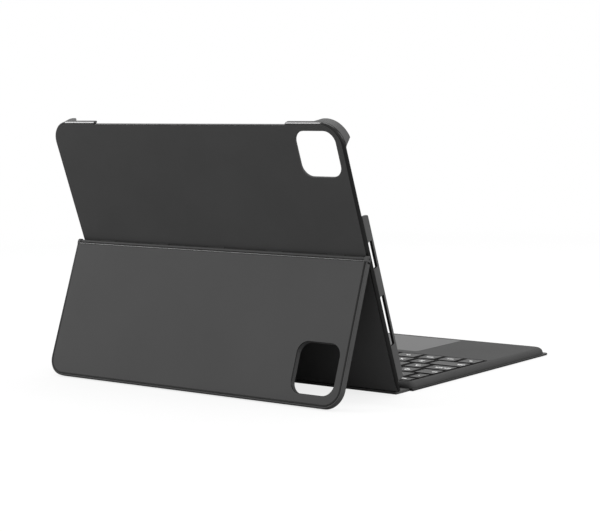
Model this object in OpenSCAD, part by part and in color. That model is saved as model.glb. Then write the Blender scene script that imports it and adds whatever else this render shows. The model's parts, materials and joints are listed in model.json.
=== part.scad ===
// Tablet keyboard case: a keyboard half, a folding spine, a tablet tray and a hinged stand.
// Origin: middle of the keyboard's underside. +X is the user's right, +Y is away from the
// user, +Z is up. The case stands open, with the tray leaning back on its stand.

/* [Tablet] */
// Length of the tablet that the tray holds
tablet_w = 247.6; // [200:0.1:300]
// Height of the tablet, lying on its long side
tablet_h = 178.5; // [150:0.1:220]
// Thickness of the tablet
tablet_t = 5.9; // [5:0.1:9]
// Gap between the tablet's edge and the tray's walls
tablet_gap = 0.3; // [0.1:0.1:1]

/* [Tray] */
// Thickness of the tray's side walls
wall_t = 1.4; // [1:0.1:2.5]
// Thickness of the tray's back plate
plate_t = 1; // [0.8:0.1:2]
// Thickness of the soft sheet on the tray's back
cover_t = 0.8; // [0.5:0.1:1.2]
// Thickness of the lining inside the tray
lining_t = 0.3; // [0.2:0.1:0.8]
// How far the snap lip reaches over the tablet
lip_reach = 0.8; // [0.4:0.1:1.5]
// Thickness of the snap lip
lip_t = 0.6; // [0.4:0.1:1]
// Corner radius of the tray's upper outline
tray_top_r = 16; // [8:1:20]
// Corner radius of the tray's lower outline
tray_foot_r = 7; // [3:0.5:14]
// Distance from the fold up to the tray's lower edge
tray_rise = 7.6; // [5:0.1:15]
// Angle that the tray leans back from upright
lean = 19.8; // [12:0.1:28]
// Length of each corner grip along the top edge
grip_w = 17.5; // [12:0.5:30]
// Length of each corner grip down the side
grip_h = 15; // [12:0.5:30]
// Length of each short wall along the top, grip included
short_wall_w = 42.5; // [30:0.5:60]
// Depth of the short top wall, from the back
short_wall_t = 3.2; // [2.6:0.1:5]
// Height of the side walls' upper ends above the tray's lower edge
side_wall_h = 118.4; // [80:0.1:130]
// Rounding of the walls' free ends
wall_end_r = 3; // [1:0.5:4]

/* [Side slots] */
// Width of the slots in the side walls
slot_w = 3.2; // [2:0.1:4]
// Length of the port slot at mid-height
port_slot = 18.5; // [10:0.5:25]
// Length of the speaker slot
speaker_slot = 35.5; // [20:0.5:45]
// Height of the speaker slot's middle above the tray's lower edge
speaker_slot_y = 44.2; // [35:0.1:55]

/* [Lens openings] */
// Width and height of the tray's lens opening
lens_size = 31; // [20:0.5:40]
// Corner radius of the lens openings
lens_r = 8; // [4:0.5:12]
// Distance of the opening's middle from the tray's left side
lens_x = 21.8; // [18:0.1:35]
// Distance of the opening's middle from the tray's top
lens_y = 21; // [18:0.1:35]
// Width and height of the stand's lens opening
stand_lens_size = 33.6; // [20:0.1:44]
// Distance of the stand's opening from the stand's foot
stand_lens_foot = 24.6; // [23:0.1:32]

/* [Stand] */
// Thickness of the stand
stand_t = 4.2; // [3.4:0.1:6]
// How far the stand stands out past each side of the tray
stand_side = 1.8; // [1:0.1:4]
// Corner radius of the stand's foot
stand_r = 13; // [5:0.5:20]
// Rim left between the stand's outline and its skin
rim_w = 1; // [0.6:0.1:3]
// Thickness of the stand's skin
skin_t = 0.6; // [0.3:0.1:0.8]
// Thickness of the stand's lining
stand_lining_t = 0.5; // [0.3:0.1:0.6]
// Thickness of the stand's stiffener
stiffener_t = 0.8; // [0.5:0.1:1.2]

/* [Stand hinge] */
// Height of the hinge axis above the rear fold, along the tray's back
hinge_y = 98.5; // [82:0.1:115]
// Radius of the hinge barrel
barrel_r = 1.5; // [1.4:0.05:1.7]
// Radius of the hinge pins
pin_r = 0.8; // [0.5:0.05:0.8]
// Length of the friction sleeves
sleeve_len = 10; // [5:0.5:20]
// Wall of the friction sleeves
sleeve_t = 0.3; // [0.2:0.05:0.35]
// Width of the ears on the stand
ear_w = 2.7; // [2:0.1:5]
// Number of feet under the hinge barrel
rail_feet = 5; // [3:1:9]
// Length of each foot under the hinge barrel
rail_foot_len = 14; // [8:1:18]
// Thickness of each foot under the hinge barrel
rail_foot_t = 2.4; // [1.6:0.1:2.6]

/* [Keyboard] */
// Depth of the keyboard from the front fold to its front edge
kb_d = 184; // [160:1:230]
// Height of the keyboard with its cover
kb_t = 6.2; // [6:0.1:8]
// Thickness of the keyboard's cover
base_t = 1.8; // [1:0.1:2.4]
// How far the cover stands proud of the deck all round
flange = 1.5; // [0.5:0.1:3]
// Corner radius of the cover
base_r = 6; // [3:0.5:15]
// Corner radius of the deck
deck_r = 9; // [4:0.5:20]
// Thickness of the deck
deck_t = 1; // [0.8:0.1:1.5]
// Floor thickness of the bottom case
floor_t = 0.6; // [0.5:0.1:1]
// Side thickness of the bottom case
case_wall = 1.2; // [0.8:0.1:2]
// Gap between the closed tray and the keyboard
close_gap = 0.9; // [0.7:0.1:3]

/* [Keys] */
// Distance from the cover's side to the block of keys
keys_side = 5; // [4:0.1:20]
// Distance from one row of keys to the next
row_pitch = 17.6; // [15:0.1:18.5]
// Depth of the first, shorter row
first_row = 12; // [10:0.5:18]
// Gap between keycaps
key_gap = 1.7; // [1.4:0.1:3]
// Corner radius of a keycap
key_r = 1.4; // [0.5:0.1:2]
// Height of a keycap
key_h = 1.8; // [1.4:0.1:2]
// Thickness of a keycap's top
key_top = 0.8; // [0.6:0.1:1]
// How far a keycap stands above the deck
key_proud = 0.2; // [0:0.05:0.3]
// How far a key travels
key_travel = 1; // [0.5:0.1:1.1]
// Gap between a keycap and the key frame
key_clear = 0.4; // [0.3:0.05:0.6]
// Thickness of the key frame
frame_t = 1.2; // [0.8:0.1:1.4]

/* [Touch pad] */
// Width of the touch pad
pad_w = 110; // [80:1:120]
// Distance from the touch pad to the block of keys
pad_back_gap = 8.5; // [8:0.1:20]
// Distance from the touch pad to the deck's front edge
pad_front = 6; // [4:0.5:15]
// Thickness of the touch pad's plate
pad_t = 0.8; // [0.6:0.1:1]
// Corner radius of the touch pad
pad_r = 3; // [1:0.5:8]
// Gap round the touch pad
pad_gap = 0.3; // [0.2:0.05:0.6]

/* [Hidden] */
$fn = 48;
eps = 0.01;
body_gap = 0.3;
run_gap = 0.05;

// Folds: each bead has half a sheet's thickness as its radius
fold_r = base_t / 2;
fold_gap = fold_r + body_gap;

// Tray, in its own frame: x across, y up from the rear fold, z towards the tablet
bay_w = tablet_w + 2 * tablet_gap;
bay_h = tablet_h + 2 * tablet_gap;
case_w = bay_w + 2 * wall_t;
tray_h = bay_h + 2 * wall_t;
tray_top = tray_rise + tray_h;
bay_r = tray_top_r - wall_t;
back_z = -fold_r;
plate_z = back_z + cover_t;
bay_z = plate_z + plate_t + lining_t;
lip_gap = 0.1;
lip_z = bay_z + tablet_t + lip_gap;
rim_z = lip_z + lip_t;
tray_depth = rim_z - back_z;
short_rim_z = back_z + short_wall_t;
lens_cx = -case_w / 2 + lens_x;
lens_cy = tray_top - lens_y;
side_reach = 2 * tray_top_r;

// Stand, in its own frame: x across, y from the hinge axis to the foot, z outward
stand_w = case_w + 2 * stand_side;
foot_gap = 0.9;
stand_len = hinge_y - foot_gap;
stand_lens_y = stand_len - stand_lens_foot;
panel_y = barrel_r + body_gap;
axis_out = stand_t / 2 + body_gap;
axis_z = back_z - axis_out;
ear_x = stand_w / 2 - ear_w;
rail_w = 2 * (ear_x - body_gap);
sleeve_r = pin_r + run_gap + sleeve_t;
pin_reach = sleeve_len - body_gap;
rail_pitch = (rail_w - 2 * sleeve_len - 2 * rail_foot_len) / (rail_feet - 1);
rail_foot_z = plate_z - axis_z;
rail_screw_r = 0.7;
rail_screw_head = 1.3;
rail_screw_depth = 1.6;
stand_inner = -stand_t / 2 + stand_lining_t;
stand_outer = stand_t / 2 - skin_t;
stiffener_in = 8;
magnet_r = 4;
magnet_t = 1.2;
magnet_y = stand_len - 16;
magnet_xs = [-45, 0, 45];
keeper_t = 0.5;
keeper_r = 5;
pocket_gap = 0.1;

// Spine
spine_w = kb_t + close_gap + tray_depth - 2 * fold_r;
spine_in = 3;
spine_half = case_w / 2 - spine_in;
spine_cover_t = 0.8;
spine_board_t = 0.5;

// Where the parts stand: front fold, rear fold, hinge axis, stand's lean
fold_b = kb_d / 2;
fold_a = fold_b + spine_w;
hinge_h = fold_r + hinge_y * cos(lean) + axis_z * sin(lean);
stand_half = stand_t / 2;
stand_lean = acos(hinge_h / norm([stand_len, stand_half])) + atan(stand_half / stand_len);

// Keyboard, bottom to top
cover_back = fold_b - fold_gap;
case_back = fold_b - flange - fold_r;
case_front = -kb_d / 2 + flange;
case_half = case_w / 2 - flange;
floor_z = base_t + floor_t;
deck_z = kb_t - deck_t;
frame_z = deck_z - frame_t;
dome_sheet_t = 0.1;
membrane_t = 0.2;
plate_steel_t = 0.4;
cap_z = kb_t + key_proud - key_h;
cap_top_z = kb_t + key_proud;
dome_sheet_z = cap_z - key_travel - 0.1 - dome_sheet_t;
membrane_z = dome_sheet_z - membrane_t;
steel_z = membrane_z - plate_steel_t;
dome_z = dome_sheet_z + dome_sheet_t;
dome_h = cap_top_z - key_top - dome_z - run_gap;
well_edge = 0.6;
well_r = 2;
frame_edge = 0.8;
support_edge = 0.5;
frame_room = 0.1;
keys_w = case_w - 2 * keys_side;
keys_back_y = case_back - case_wall - frame_room - frame_edge;
keys_d = first_row + 5 * row_pitch;
keys_front_y = keys_back_y - keys_d;

// Key widths, row by row from the back, in units of a letter key
unit_sum = 14.2;
unit = keys_w / unit_sum;
rows = [
    [for (i = [0:13]) unit_sum / 14],
    [0.7, 1, 1, 1, 1, 1, 1, 1, 1, 1, 1, 1, 1, 1.5],
    [1.1, 1, 1, 1, 1, 1, 1, 1, 1, 1, 1, 1, 1, 1.1],
    [1.3, 1, 1, 1, 1, 1, 1, 1, 1, 1, 1, 1, 1.9],
    [1.75, 1, 1, 1, 1, 1, 1, 1, 1, 1, 1, 2.45],
    [1, 1, 1, 1.25, 4.95, 1.25, 1, 0.9, 0.95, 0.9]
];
arrow_row = 5;
arrow_col = 8;

// Touch pad
pad_front_y = case_front + pad_front;
pad_back_y = keys_front_y - pad_back_gap;
pad_d = pad_back_y - pad_front_y;
pad_z = kb_t - pad_t;
pad_board_t = 0.7;
pad_under_z = pad_z - pad_board_t;
pad_swing = 0.35;
pad_drop = pad_d * sin(pad_swing);
pad_switch_h = pad_under_z - floor_z - pad_drop - 0.1;
pad_bead_r = pad_board_t - run_gap;
pad_axis_y = pad_back_y - 0.5;
pad_board_in = 2;
pad_switch_w = 5;
pad_switch_in = 4;
plunger_r = 1.6;

// Electronics at the user's right
port_w = 9;
port_d = 7.4;
port_h = 2.6;
port_y = keys_front_y - 14;
switch_len = 6;
switch_slot = 10;
switch_h = 1.2;
switch_stroke = 3;
switch_y = keys_front_y - 30;
switch_cap_h = switch_h - 0.1;
switch_neck = 0.6;
switch_proud = 0.7;
switch_head_t = 1;
switch_head_over = 1;
board_w = 17;
board_d = 44;
board_t = 0.8;
board_in = 1;
board_y = keys_front_y - 8 - board_d;
switch_z = floor_z + board_t + body_gap + switch_cap_h / 2;
chip_w = 6;
chip_t = 0.9;
chip_x = 3;
chip_y = 6;
cable_t = 0.15;
tail_w = 5;
tail_in = 3;
pad_cable_w = 6;
pad_cable_d = 5;
pad_cable_drop = 0.2;
battery_t = 2.3;
battery_d = 52;
battery_in = 2.5;
side_room = case_half - case_wall - pad_w / 2 - pad_gap;
battery_w = side_room - board_w - 6;
battery_y = case_front + case_wall + 5;
led_r = 0.8;
led_y = (keys_front_y + pad_back_y) / 2;
led_x = case_half - 12;
screw_r = 0.7;
screw_head_r = 1.4;
screw_head_t = 0.4;
boss_r = 1.9;
kb_magnet_r = 3;
kb_magnet_t = 1.4;
kb_magnet_in = 8;
kb_magnet_front = 14;

// ---- Outlines -------------------------------------------------------------------------

// Rectangle from [x0, y0] to [x1, y1] with its low and high corners rounded
module outline(x0, x1, y0, y1, r_low, r_high) {
    translate([x0, y0 + r_low])
        square([x1 - x0, y1 - y0 - r_low - r_high]);
    translate([x0 + r_low, y0])
        square([x1 - x0 - 2 * r_low, r_low + eps]);
    translate([x0 + r_high, y1 - r_high - eps])
        square([x1 - x0 - 2 * r_high, r_high + eps]);
    for (x = [x0 + r_low, x1 - r_low])
        translate([x, y0 + r_low])
            circle(r = r_low);
    for (x = [x0 + r_high, x1 - r_high])
        translate([x, y1 - r_high])
            circle(r = r_high);
}

// Square opening with round corners, its middle at the origin
module lens_outline(size, r) {
    outline(-size / 2, size / 2, -size / 2, size / 2, r, r);
}

// ---- Placing --------------------------------------------------------------------------

// Tray frame: origin on the rear fold's axis
module in_tray() {
    translate([0, fold_a, fold_r])
        rotate([90 - lean, 0, 0])
            children();
}

// Stand frame: origin on the hinge axis
module in_stand() {
    translate([0, fold_a + hinge_y * sin(lean) - axis_z * cos(lean), hinge_h])
        rotate([stand_lean - 90, 0, 0])
            children();
}

module slab(z, t) {
    translate([0, 0, z])
        linear_extrude(t)
            children();
}

// ---- Keys -----------------------------------------------------------------------------

function total(list, count) = count <= 0 ? 0 : list[count - 1] + total(list, count - 1);
function key_width(r, i) = rows[r][i] * unit - key_gap;
function key_x(r, i) = -keys_w / 2 + unit * (total(rows[r], i) + rows[r][i] / 2);
function row_depth(r) = (r == 0 ? first_row : row_pitch) - key_gap;
function row_y(r) = keys_back_y - (r == 0 ? first_row / 2 : first_row + (r - 0.5) * row_pitch);
function is_split(r, i) = r == arrow_row && i == arrow_col;
half_gap = 1.2;
half_depth = (row_pitch - key_gap - half_gap) / 2;
half_shift = (row_pitch - key_gap - half_depth) / 2;

// Runs its children at each key of a row, from the first column to the last.
// $w and $d are the keycap's width and depth. The split key is two half keys.
module at_keys(r, first, last) {
    for (i = [first:last])
        if (is_split(r, i)) {
            at_key(r, i, half_shift, half_depth) children();
            at_key(r, i, -half_shift, half_depth) children();
        } else {
            at_key(r, i, 0, row_depth(r)) children();
        }
}

module at_key(r, i, shift, depth) {
    $w = key_width(r, i);
    $d = depth;
    translate([key_x(r, i), row_y(r) + shift, 0])
        children();
}

module at_all_keys() {
    for (r = [0:len(rows) - 1])
        at_keys(r, 0, len(rows[r]) - 1)
            children();
}

cap_skirt = 0.9;

// Keycap: a thin shell, open below, so that it drops over its dome
module keycap() {
    difference() {
        slab(cap_z, key_h)
            outline(-$w / 2, $w / 2, -$d / 2, $d / 2, key_r, key_r);
        translate([-$w / 2 + cap_skirt, -$d / 2 + cap_skirt, cap_z - eps])
            cube([$w - 2 * cap_skirt, $d - 2 * cap_skirt, key_h - key_top + eps]);
    }
}

module keycaps(r, first, last) {
    color("#8a8a8a")
        at_keys(r, first, last)
            keycap();
}

module half_arrow(shift) {
    color("#8a8a8a")
        at_key(arrow_row, arrow_col, shift, half_depth)
            keycap();
}

module function_keys() { keycaps(0, 0, 13); }
module key_backquote() { keycaps(1, 0, 0); }
module number_keys() { keycaps(1, 1, 12); }
module key_backspace() { keycaps(1, 13, 13); }
module key_tab() { keycaps(2, 0, 0); }
module upper_letter_keys() { keycaps(2, 1, 12); }
module key_backslash() { keycaps(2, 13, 13); }
module key_caps_lock() { keycaps(3, 0, 0); }
module home_letter_keys() { keycaps(3, 1, 11); }
module key_enter() { keycaps(3, 12, 12); }
module key_left_shift() { keycaps(4, 0, 0); }
module lower_letter_keys() { keycaps(4, 1, 10); }
module key_right_shift() { keycaps(4, 11, 11); }
module modifier_keys() { keycaps(5, 0, 2); }
module key_left_alt() { keycaps(5, 3, 3); }
module key_space() { keycaps(5, 4, 4); }
module key_right_alt() { keycaps(5, 5, 5); }
module key_right_control() { keycaps(5, 6, 6); }
module key_arrow_left() { keycaps(5, 7, 7); }
module key_arrow_up() { half_arrow(half_shift); }
module key_arrow_down() { half_arrow(-half_shift); }
module key_arrow_right() { keycaps(5, 9, 9); }

// ---- Keyboard -------------------------------------------------------------------------

module base_cover() {
    color("#3c3c3c")
        slab(0, base_t)
            outline(-case_w / 2, case_w / 2, -kb_d / 2, cover_back, base_r, 1);
}

module case_outline(inset) {
    outline(-case_half + inset, case_half - inset, case_front + inset, case_back - inset,
            deck_r - inset, 3);
}

module keys_outline(edge, r) {
    outline(-keys_w / 2 - edge, keys_w / 2 + edge, keys_front_y - edge, keys_back_y + edge, r, r);
}

// Screw places: along both sides and between the keys and the touch pad
screw_in = 6;
screw_xs = [-case_half + screw_in, -case_half / 3, case_half / 3, case_half - screw_in];
screw_ys = [case_front + screw_in, keys_front_y - pad_back_gap / 2];

module at_screws() {
    for (x = screw_xs, y = screw_ys)
        if (y > pad_back_y || abs(x) > pad_w / 2 + 4)
            translate([x, y, 0])
                children();
}

// Ribs that carry the key support plate above the floor
rib_w = 1.2;
rib_ys = [for (k = [0:4]) keys_front_y + 1.5 + k * (keys_d - 3) / 4];

module bottom_case() {
    color("#333333")
        difference() {
            union() {
                difference() {
                    slab(base_t, deck_z - base_t)
                        case_outline(0);
                    slab(floor_z, deck_z)
                        case_outline(case_wall);
                }
                for (y = rib_ys)
                    translate([-keys_w / 2 + 1, y - rib_w / 2, floor_z - eps])
                        cube([keys_w - 2, rib_w, steel_z - floor_z + eps]);
            }
            at_screws()
                screw_shape(0);
            port_mouth();
            switch_cut();
        }
}

module port_mouth() {
    translate([case_half - port_d, port_y - port_w / 2, floor_z])
        cube([port_d + 1, port_w, port_h]);
}

module switch_cut() {
    translate([case_half - case_wall - eps, switch_y - switch_slot / 2, switch_z - switch_h / 2 - body_gap])
        cube([case_wall + 1, switch_slot, switch_h + 2 * body_gap]);
}

module screw_shape(extra) {
    translate([0, 0, base_t])
        cylinder(r = screw_head_r + extra, h = screw_head_t);
    translate([0, 0, base_t])
        cylinder(r = screw_r + extra, h = deck_z - base_t - 0.2);
}

module case_screws() {
    color("#9a9a9a")
        at_screws()
            screw_shape(0);
}

module deck() {
    color("#5e5e5e")
        difference() {
            union() {
                slab(deck_z, deck_t)
                    case_outline(0);
                at_screws()
                    translate([0, 0, floor_z])
                        cylinder(r = boss_r, h = deck_z - floor_z + eps);
            }
            slab(deck_z - eps, deck_t + 1)
                keys_outline(well_edge, well_r);
            slab(deck_z - eps, deck_t + 1)
                pad_outline(pad_gap);
            translate([led_x, led_y, deck_z - 1])
                cylinder(r = led_r, h = deck_t + 2);
            at_screws()
                screw_shape(0);
        }
}

// Black web between the keys, fixed under the deck
module key_frame() {
    color("#1a1a1a")
        difference() {
            slab(frame_z, frame_t)
                keys_outline(frame_edge, well_r);
            at_all_keys()
                translate([-$w / 2 - key_clear, -$d / 2 - key_clear, frame_z - 1])
                    cube([$w + 2 * key_clear, $d + 2 * key_clear, frame_t + 2]);
        }
}

module key_support_plate() {
    color("#b0b4b8")
        slab(steel_z, plate_steel_t)
            keys_outline(support_edge, 1);
}

module membrane_sheet() {
    color("#d8d2b0")
        slab(membrane_z, membrane_t)
            keys_outline(support_edge, 1);
}

dome_r = 2.2;
dome_taper = 0.64;
// Scissor links: each is an open frame, and the inner one swings inside the outer
link_t = 0.3;
link_bar = 0.5;
link_gap = 0.3;
link_max_w = 9;
link_max_d = 9;
function link_w() = min(link_max_w, $w - 2 * cap_skirt - 2 * link_gap);
function link_d() = min(link_max_d, $d - 2 * cap_skirt - 1);
function inner_link_w() = link_w() - 2 * link_bar - 2 * link_gap;
function dome_room() = min(inner_link_w(), link_d()) / 2 - link_bar - 0.2;

module rubber_domes() {
    color("#c8c8c8") {
        slab(dome_sheet_z, dome_sheet_t)
            keys_outline(support_edge, 1);
        at_all_keys()
            dome();
    }
}

module dome() {
    r = min(dome_r, dome_room());
    translate([0, 0, dome_z - eps])
        cylinder(r1 = r, r2 = r * dome_taper, h = dome_h + eps, $fn = 24);
}

// Scissor pair under each keycap: two open links that cross at mid-height

module link(w, d, tilt) {
    rise = cap_z + key_h - key_top - dome_z;
    translate([0, 0, dome_z + rise / 2])
        rotate([tilt, 0, 0])
            translate([-w / 2, -d / 2, -link_t / 2])
                difference() {
                    cube([w, d, link_t]);
                    translate([link_bar, link_bar, -1])
                        cube([w - 2 * link_bar, d - 2 * link_bar, link_t + 2]);
                }
}

module scissor_pair() {
    d = link_d();
    rise = cap_z + key_h - key_top - dome_z - link_t - 2 * run_gap;
    tilt = asin(rise / d);
    link(link_w(), d, tilt);
    link(inner_link_w(), d, -tilt);
}

module scissor_links() {
    color("#e6e6e6")
        at_all_keys()
            scissor_pair();
}

// ---- Touch pad ------------------------------------------------------------------------

module pad_outline(edge) {
    outline(-pad_w / 2 - edge, pad_w / 2 + edge, pad_front_y - edge, pad_back_y + edge,
            pad_r + edge, pad_r + edge);
}

module touch_pad() {
    color("#868686")
        slab(pad_z, pad_t)
            pad_outline(0);
}

module pad_board() {
    color("#1f5a3a")
        slab(pad_under_z, pad_board_t)
            outline(-pad_w / 2 + pad_board_in, pad_w / 2 - pad_board_in, pad_front_y + 1,
                    pad_axis_y - pad_bead_r - 1, 1, 1);
}

// Rear bracket: an upright web with a round bead on top, which the touch pad rocks on
module pad_bracket() {
    bracket_w = pad_w - 20;
    foot_d = 3;
    foot_t = 0.4;
    web_t = 0.6;
    color("#b0b4b8") {
        translate([-bracket_w / 2, pad_axis_y - foot_d, floor_z])
            cube([bracket_w, foot_d, foot_t]);
        translate([-bracket_w / 2, pad_axis_y - web_t / 2, floor_z])
            cube([bracket_w, web_t, pad_under_z - floor_z]);
        translate([-bracket_w / 2, pad_axis_y, pad_under_z])
            rotate([0, 90, 0])
                cylinder(r = pad_bead_r, h = bracket_w);
    }
}

module pad_switch() {
    color("#c0c0c0") {
        translate([-pad_switch_w / 2, pad_front_y + pad_switch_in, floor_z])
            cube([pad_switch_w, pad_switch_w, pad_switch_h / 2]);
        translate([0, pad_front_y + pad_switch_in + pad_switch_w / 2, floor_z + pad_switch_h / 2])
            cylinder(r = plunger_r, h = pad_switch_h / 2);
    }
}

// ---- Electronics ----------------------------------------------------------------------

module main_board() {
    x0 = case_half - case_wall - board_in - board_w;
    color("#1f5a3a")
        difference() {
            translate([x0, board_y, floor_z])
                cube([board_w, board_d, board_t]);
            port_mouth();
            at_screws()
                cylinder(r = boss_r + body_gap, h = kb_t);
        }
    color("#222222")
        translate([x0 + chip_x, board_y + chip_y, floor_z + board_t])
            cube([chip_w, chip_w, chip_t]);
}

module battery_cells() {
    middle_x = pad_w / 2 + pad_gap + battery_in + battery_w / 2;
    color("#b8bcc0")
        for (side = [-1, 1])
            translate([side * middle_x - battery_w / 2, battery_y, floor_z])
                cube([battery_w, battery_d, battery_t]);
}

// Cable from the membrane to the board, and cable from the touch pad to the board
module flat_cables() {
    tail_x = case_half - case_wall - board_w + 4;
    board_back = board_y + board_d;
    color("#c98a3a") {
        translate([tail_x, board_back - tail_in, floor_z + board_t])
            cube([tail_w, keys_front_y - board_back + 1, cable_t]);
        translate([pad_w / 2 - 8, pad_back_y - 12, pad_under_z - pad_cable_drop - cable_t])
            cube([pad_cable_w, pad_cable_d, cable_t]);
    }
}

module charge_port() {
    lip = 0.35;
    r = port_h / 2;
    mouth_r = r - lip - 0.1;
    color("#a8a8a8")
        translate([case_half - port_d, port_y, floor_z + r])
            rotate([90, 0, 90])
                difference() {
                    linear_extrude(port_d - 0.2)
                        outline(-port_w / 2, port_w / 2, -r, r, r - 0.1, r - 0.1);
                    translate([0, 0, 1.2])
                        linear_extrude(port_d)
                            outline(-port_w / 2 + lip, port_w / 2 - lip, -r + lip, r - lip,
                                    mouth_r, mouth_r);
                }
}

module power_switch() {
    y0 = switch_y - switch_stroke / 2 - switch_len / 2;
    wall_in = case_half - case_wall;
    low = switch_z - switch_cap_h / 2;
    color("#6a6a6a") {
        translate([wall_in - switch_neck, y0, low])
            cube([case_wall + switch_neck + switch_proud, switch_len, switch_cap_h]);
        translate([wall_in - switch_neck - switch_head_t, y0 - switch_head_over, low])
            cube([switch_head_t + eps, switch_len + 2 * switch_head_over, switch_cap_h]);
    }
}

module status_light() {
    color("#dfe8df")
        translate([led_x, led_y, deck_z - 1])
            cylinder(r = led_r, h = deck_t + 1);
}

module closing_magnets() {
    color("#9aa0a6")
        for (side = [-1, 1])
            translate([side * (case_half - kb_magnet_in), case_front + kb_magnet_front, floor_z])
                cylinder(r = kb_magnet_r, h = kb_magnet_t);
}

// ---- Spine ----------------------------------------------------------------------------

module spine_sheet(z, t) {
    translate([-spine_half, fold_b + fold_r, z])
        cube([2 * spine_half, spine_w - 2 * fold_r, t]);
}

module bead(y) {
    translate([-spine_half, y, fold_r])
        rotate([0, 90, 0])
            cylinder(r = fold_r, h = 2 * spine_half);
}

// Outer sheet with the two fold beads at its edges
module spine_cover() {
    color("#3c3c3c") {
        translate([-spine_half, fold_b, 0])
            cube([2 * spine_half, spine_w, spine_cover_t]);
        bead(fold_b);
        bead(fold_a);
    }
}

module spine_board() {
    color("#5a5a5a")
        spine_sheet(spine_cover_t, spine_board_t);
}

module spine_lining() {
    color("#4a4a4a")
        spine_sheet(spine_cover_t + spine_board_t, base_t - spine_cover_t - spine_board_t);
}

// ---- Tray -----------------------------------------------------------------------------

module tray_outline(inset, r_low, r_high) {
    outline(-case_w / 2 + inset, case_w / 2 - inset, tray_rise + inset, tray_top - inset, r_low, r_high);
}

module tray_lens(extra) {
    translate([lens_cx, lens_cy])
        lens_outline(lens_size + 2 * extra, lens_r + extra);
}

// Side view of what is left of the walls, in the y-z plane
module wall_profile() {
    tall = rim_z - back_z;
    // long side walls and the lower wall
    translate([0, -tall])
        outline(tray_rise - 20, tray_rise + side_wall_h, 0, rim_z + tall, 1, wall_end_r);
}

// Space that the walls keep: side and lower walls, corner grips, short top walls
module wall_space() {
    far = case_w;
    rotate([90, 0, 90])
        translate([0, 0, -far])
            linear_extrude(2 * far)
                wall_profile();
    for (side = [-1, 1]) {
        grip_space(side);
        translate([side * (case_w / 2 - short_wall_w / 2) - short_wall_w / 2, tray_top - side_reach, plate_z])
            cube([short_wall_w, side_reach + 1, short_rim_z - plate_z]);
    }
}

// A corner grip, with a hollow curve where it runs out on the side
module grip_space(side) {
    x0 = case_w / 2 - grip_w;
    y0 = tray_top - grip_h;
    run_r = 3;
    translate([side > 0 ? x0 : -x0 - grip_w - 1, 0, 0]) {
        translate([0, y0, plate_z])
            cube([grip_w + 1, grip_h + 1, rim_z - plate_z]);
        rotate([90, 0, 90])
            linear_extrude(grip_w + 1)
                difference() {
                    translate([y0 - run_r, plate_z])
                        square([run_r + eps, run_r + plate_t]);
                    translate([y0 - run_r, plate_z + plate_t + run_r])
                        circle(r = run_r);
                }
    }
}

module wall_ring() {
    difference() {
        slab(plate_z, rim_z - plate_z)
            tray_outline(0, tray_foot_r, tray_top_r);
        slab(plate_z - 1, lip_z - plate_z + 1)
            tray_outline(wall_t, bay_r, bay_r);
        slab(lip_z - eps, lip_t + 1)
            tray_outline(wall_t + lip_reach, bay_r - lip_reach, bay_r - lip_reach);
    }
}

// Slots through both side walls
module side_slot(y, len) {
    slot_z = bay_z + 2;
    reach = len / 2 - slot_w / 2;
    translate([-case_w, y, slot_z]) {
        translate([0, -reach, -slot_w / 2])
            cube([2 * case_w, 2 * reach, slot_w]);
        for (end = [-1, 1])
            translate([0, end * reach, 0])
                rotate([0, 90, 0])
                    cylinder(r = slot_w / 2, h = 2 * case_w);
    }
}

top_gap_half = case_w / 2 - short_wall_w;

// The top edge between the short walls is cut back to the tablet's edge
module top_cut(z, t) {
    translate([-top_gap_half, tray_top - wall_t, z])
        cube([2 * top_gap_half, wall_t + 1, t]);
}

module tablet_tray() {
    color("#4a4a4a")
        in_tray()
            difference() {
                union() {
                    slab(plate_z, plate_t)
                        tray_outline(0, tray_foot_r, tray_top_r);
                    intersection() {
                        wall_ring();
                        wall_space();
                    }
                }
                top_cut(plate_z - 1, tray_depth + 2);
                side_slot(tray_rise + tray_h / 2, port_slot);
                side_slot(tray_rise + speaker_slot_y, speaker_slot);
                slab(plate_z - 1, plate_t + 2)
                    tray_lens(0);
                at_rail_feet()
                    translate([0, 0, plate_z - 1])
                        cylinder(r = rail_screw_r, h = plate_t + 2);
                at_rail_feet()
                    translate([0, 0, plate_z + plate_t / 2])
                        cylinder(r = rail_screw_head, h = plate_t);
                at_keepers()
                    translate([0, 0, plate_z - 1])
                        cylinder(r = keeper_r + pocket_gap, h = keeper_t + 1);
            }
}

module tray_lining() {
    color("#2e2e2e")
        in_tray()
            difference() {
                slab(plate_z + plate_t, lining_t)
                    tray_outline(wall_t + 0.5, bay_r - 0.5, bay_r - 0.5);
                slab(plate_z, plate_t + 2)
                    tray_lens(0.6);
            }
}

module back_cover() {
    color("#3c3c3c")
        in_tray()
            difference() {
                slab(back_z, cover_t)
                    outline(-case_w / 2, case_w / 2, fold_gap, tray_top, 1, tray_top_r);
                top_cut(back_z - 1, cover_t + 2);
                slab(back_z - 1, cover_t + 2)
                    tray_lens(0);
                at_rail_feet()
                    translate([-rail_foot_len / 2, -rail_foot_t / 2, back_z - 1])
                        cube([rail_foot_len, rail_foot_t, cover_t + 2]);
            }
}

// Strip inside the lower back, between the fold and the tray
module cover_lining() {
    color("#4a4a4a")
        in_tray()
            translate([-spine_half, fold_gap, plate_z])
                cube([2 * spine_half, tray_rise - body_gap - fold_gap, base_t - cover_t]);
}

// ---- Stand hinge, tray side -----------------------------------------------------------

module at_rail_feet() {
    for (k = [0:rail_feet - 1])
        translate([(k - (rail_feet - 1) / 2) * rail_pitch, hinge_y, 0])
            children();
}

module at_hinge_ends() {
    for (side = [-1, 1])
        translate([side * rail_w / 2, hinge_y, axis_z])
            rotate([0, -90 * side, 0])
                children();
}

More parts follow.
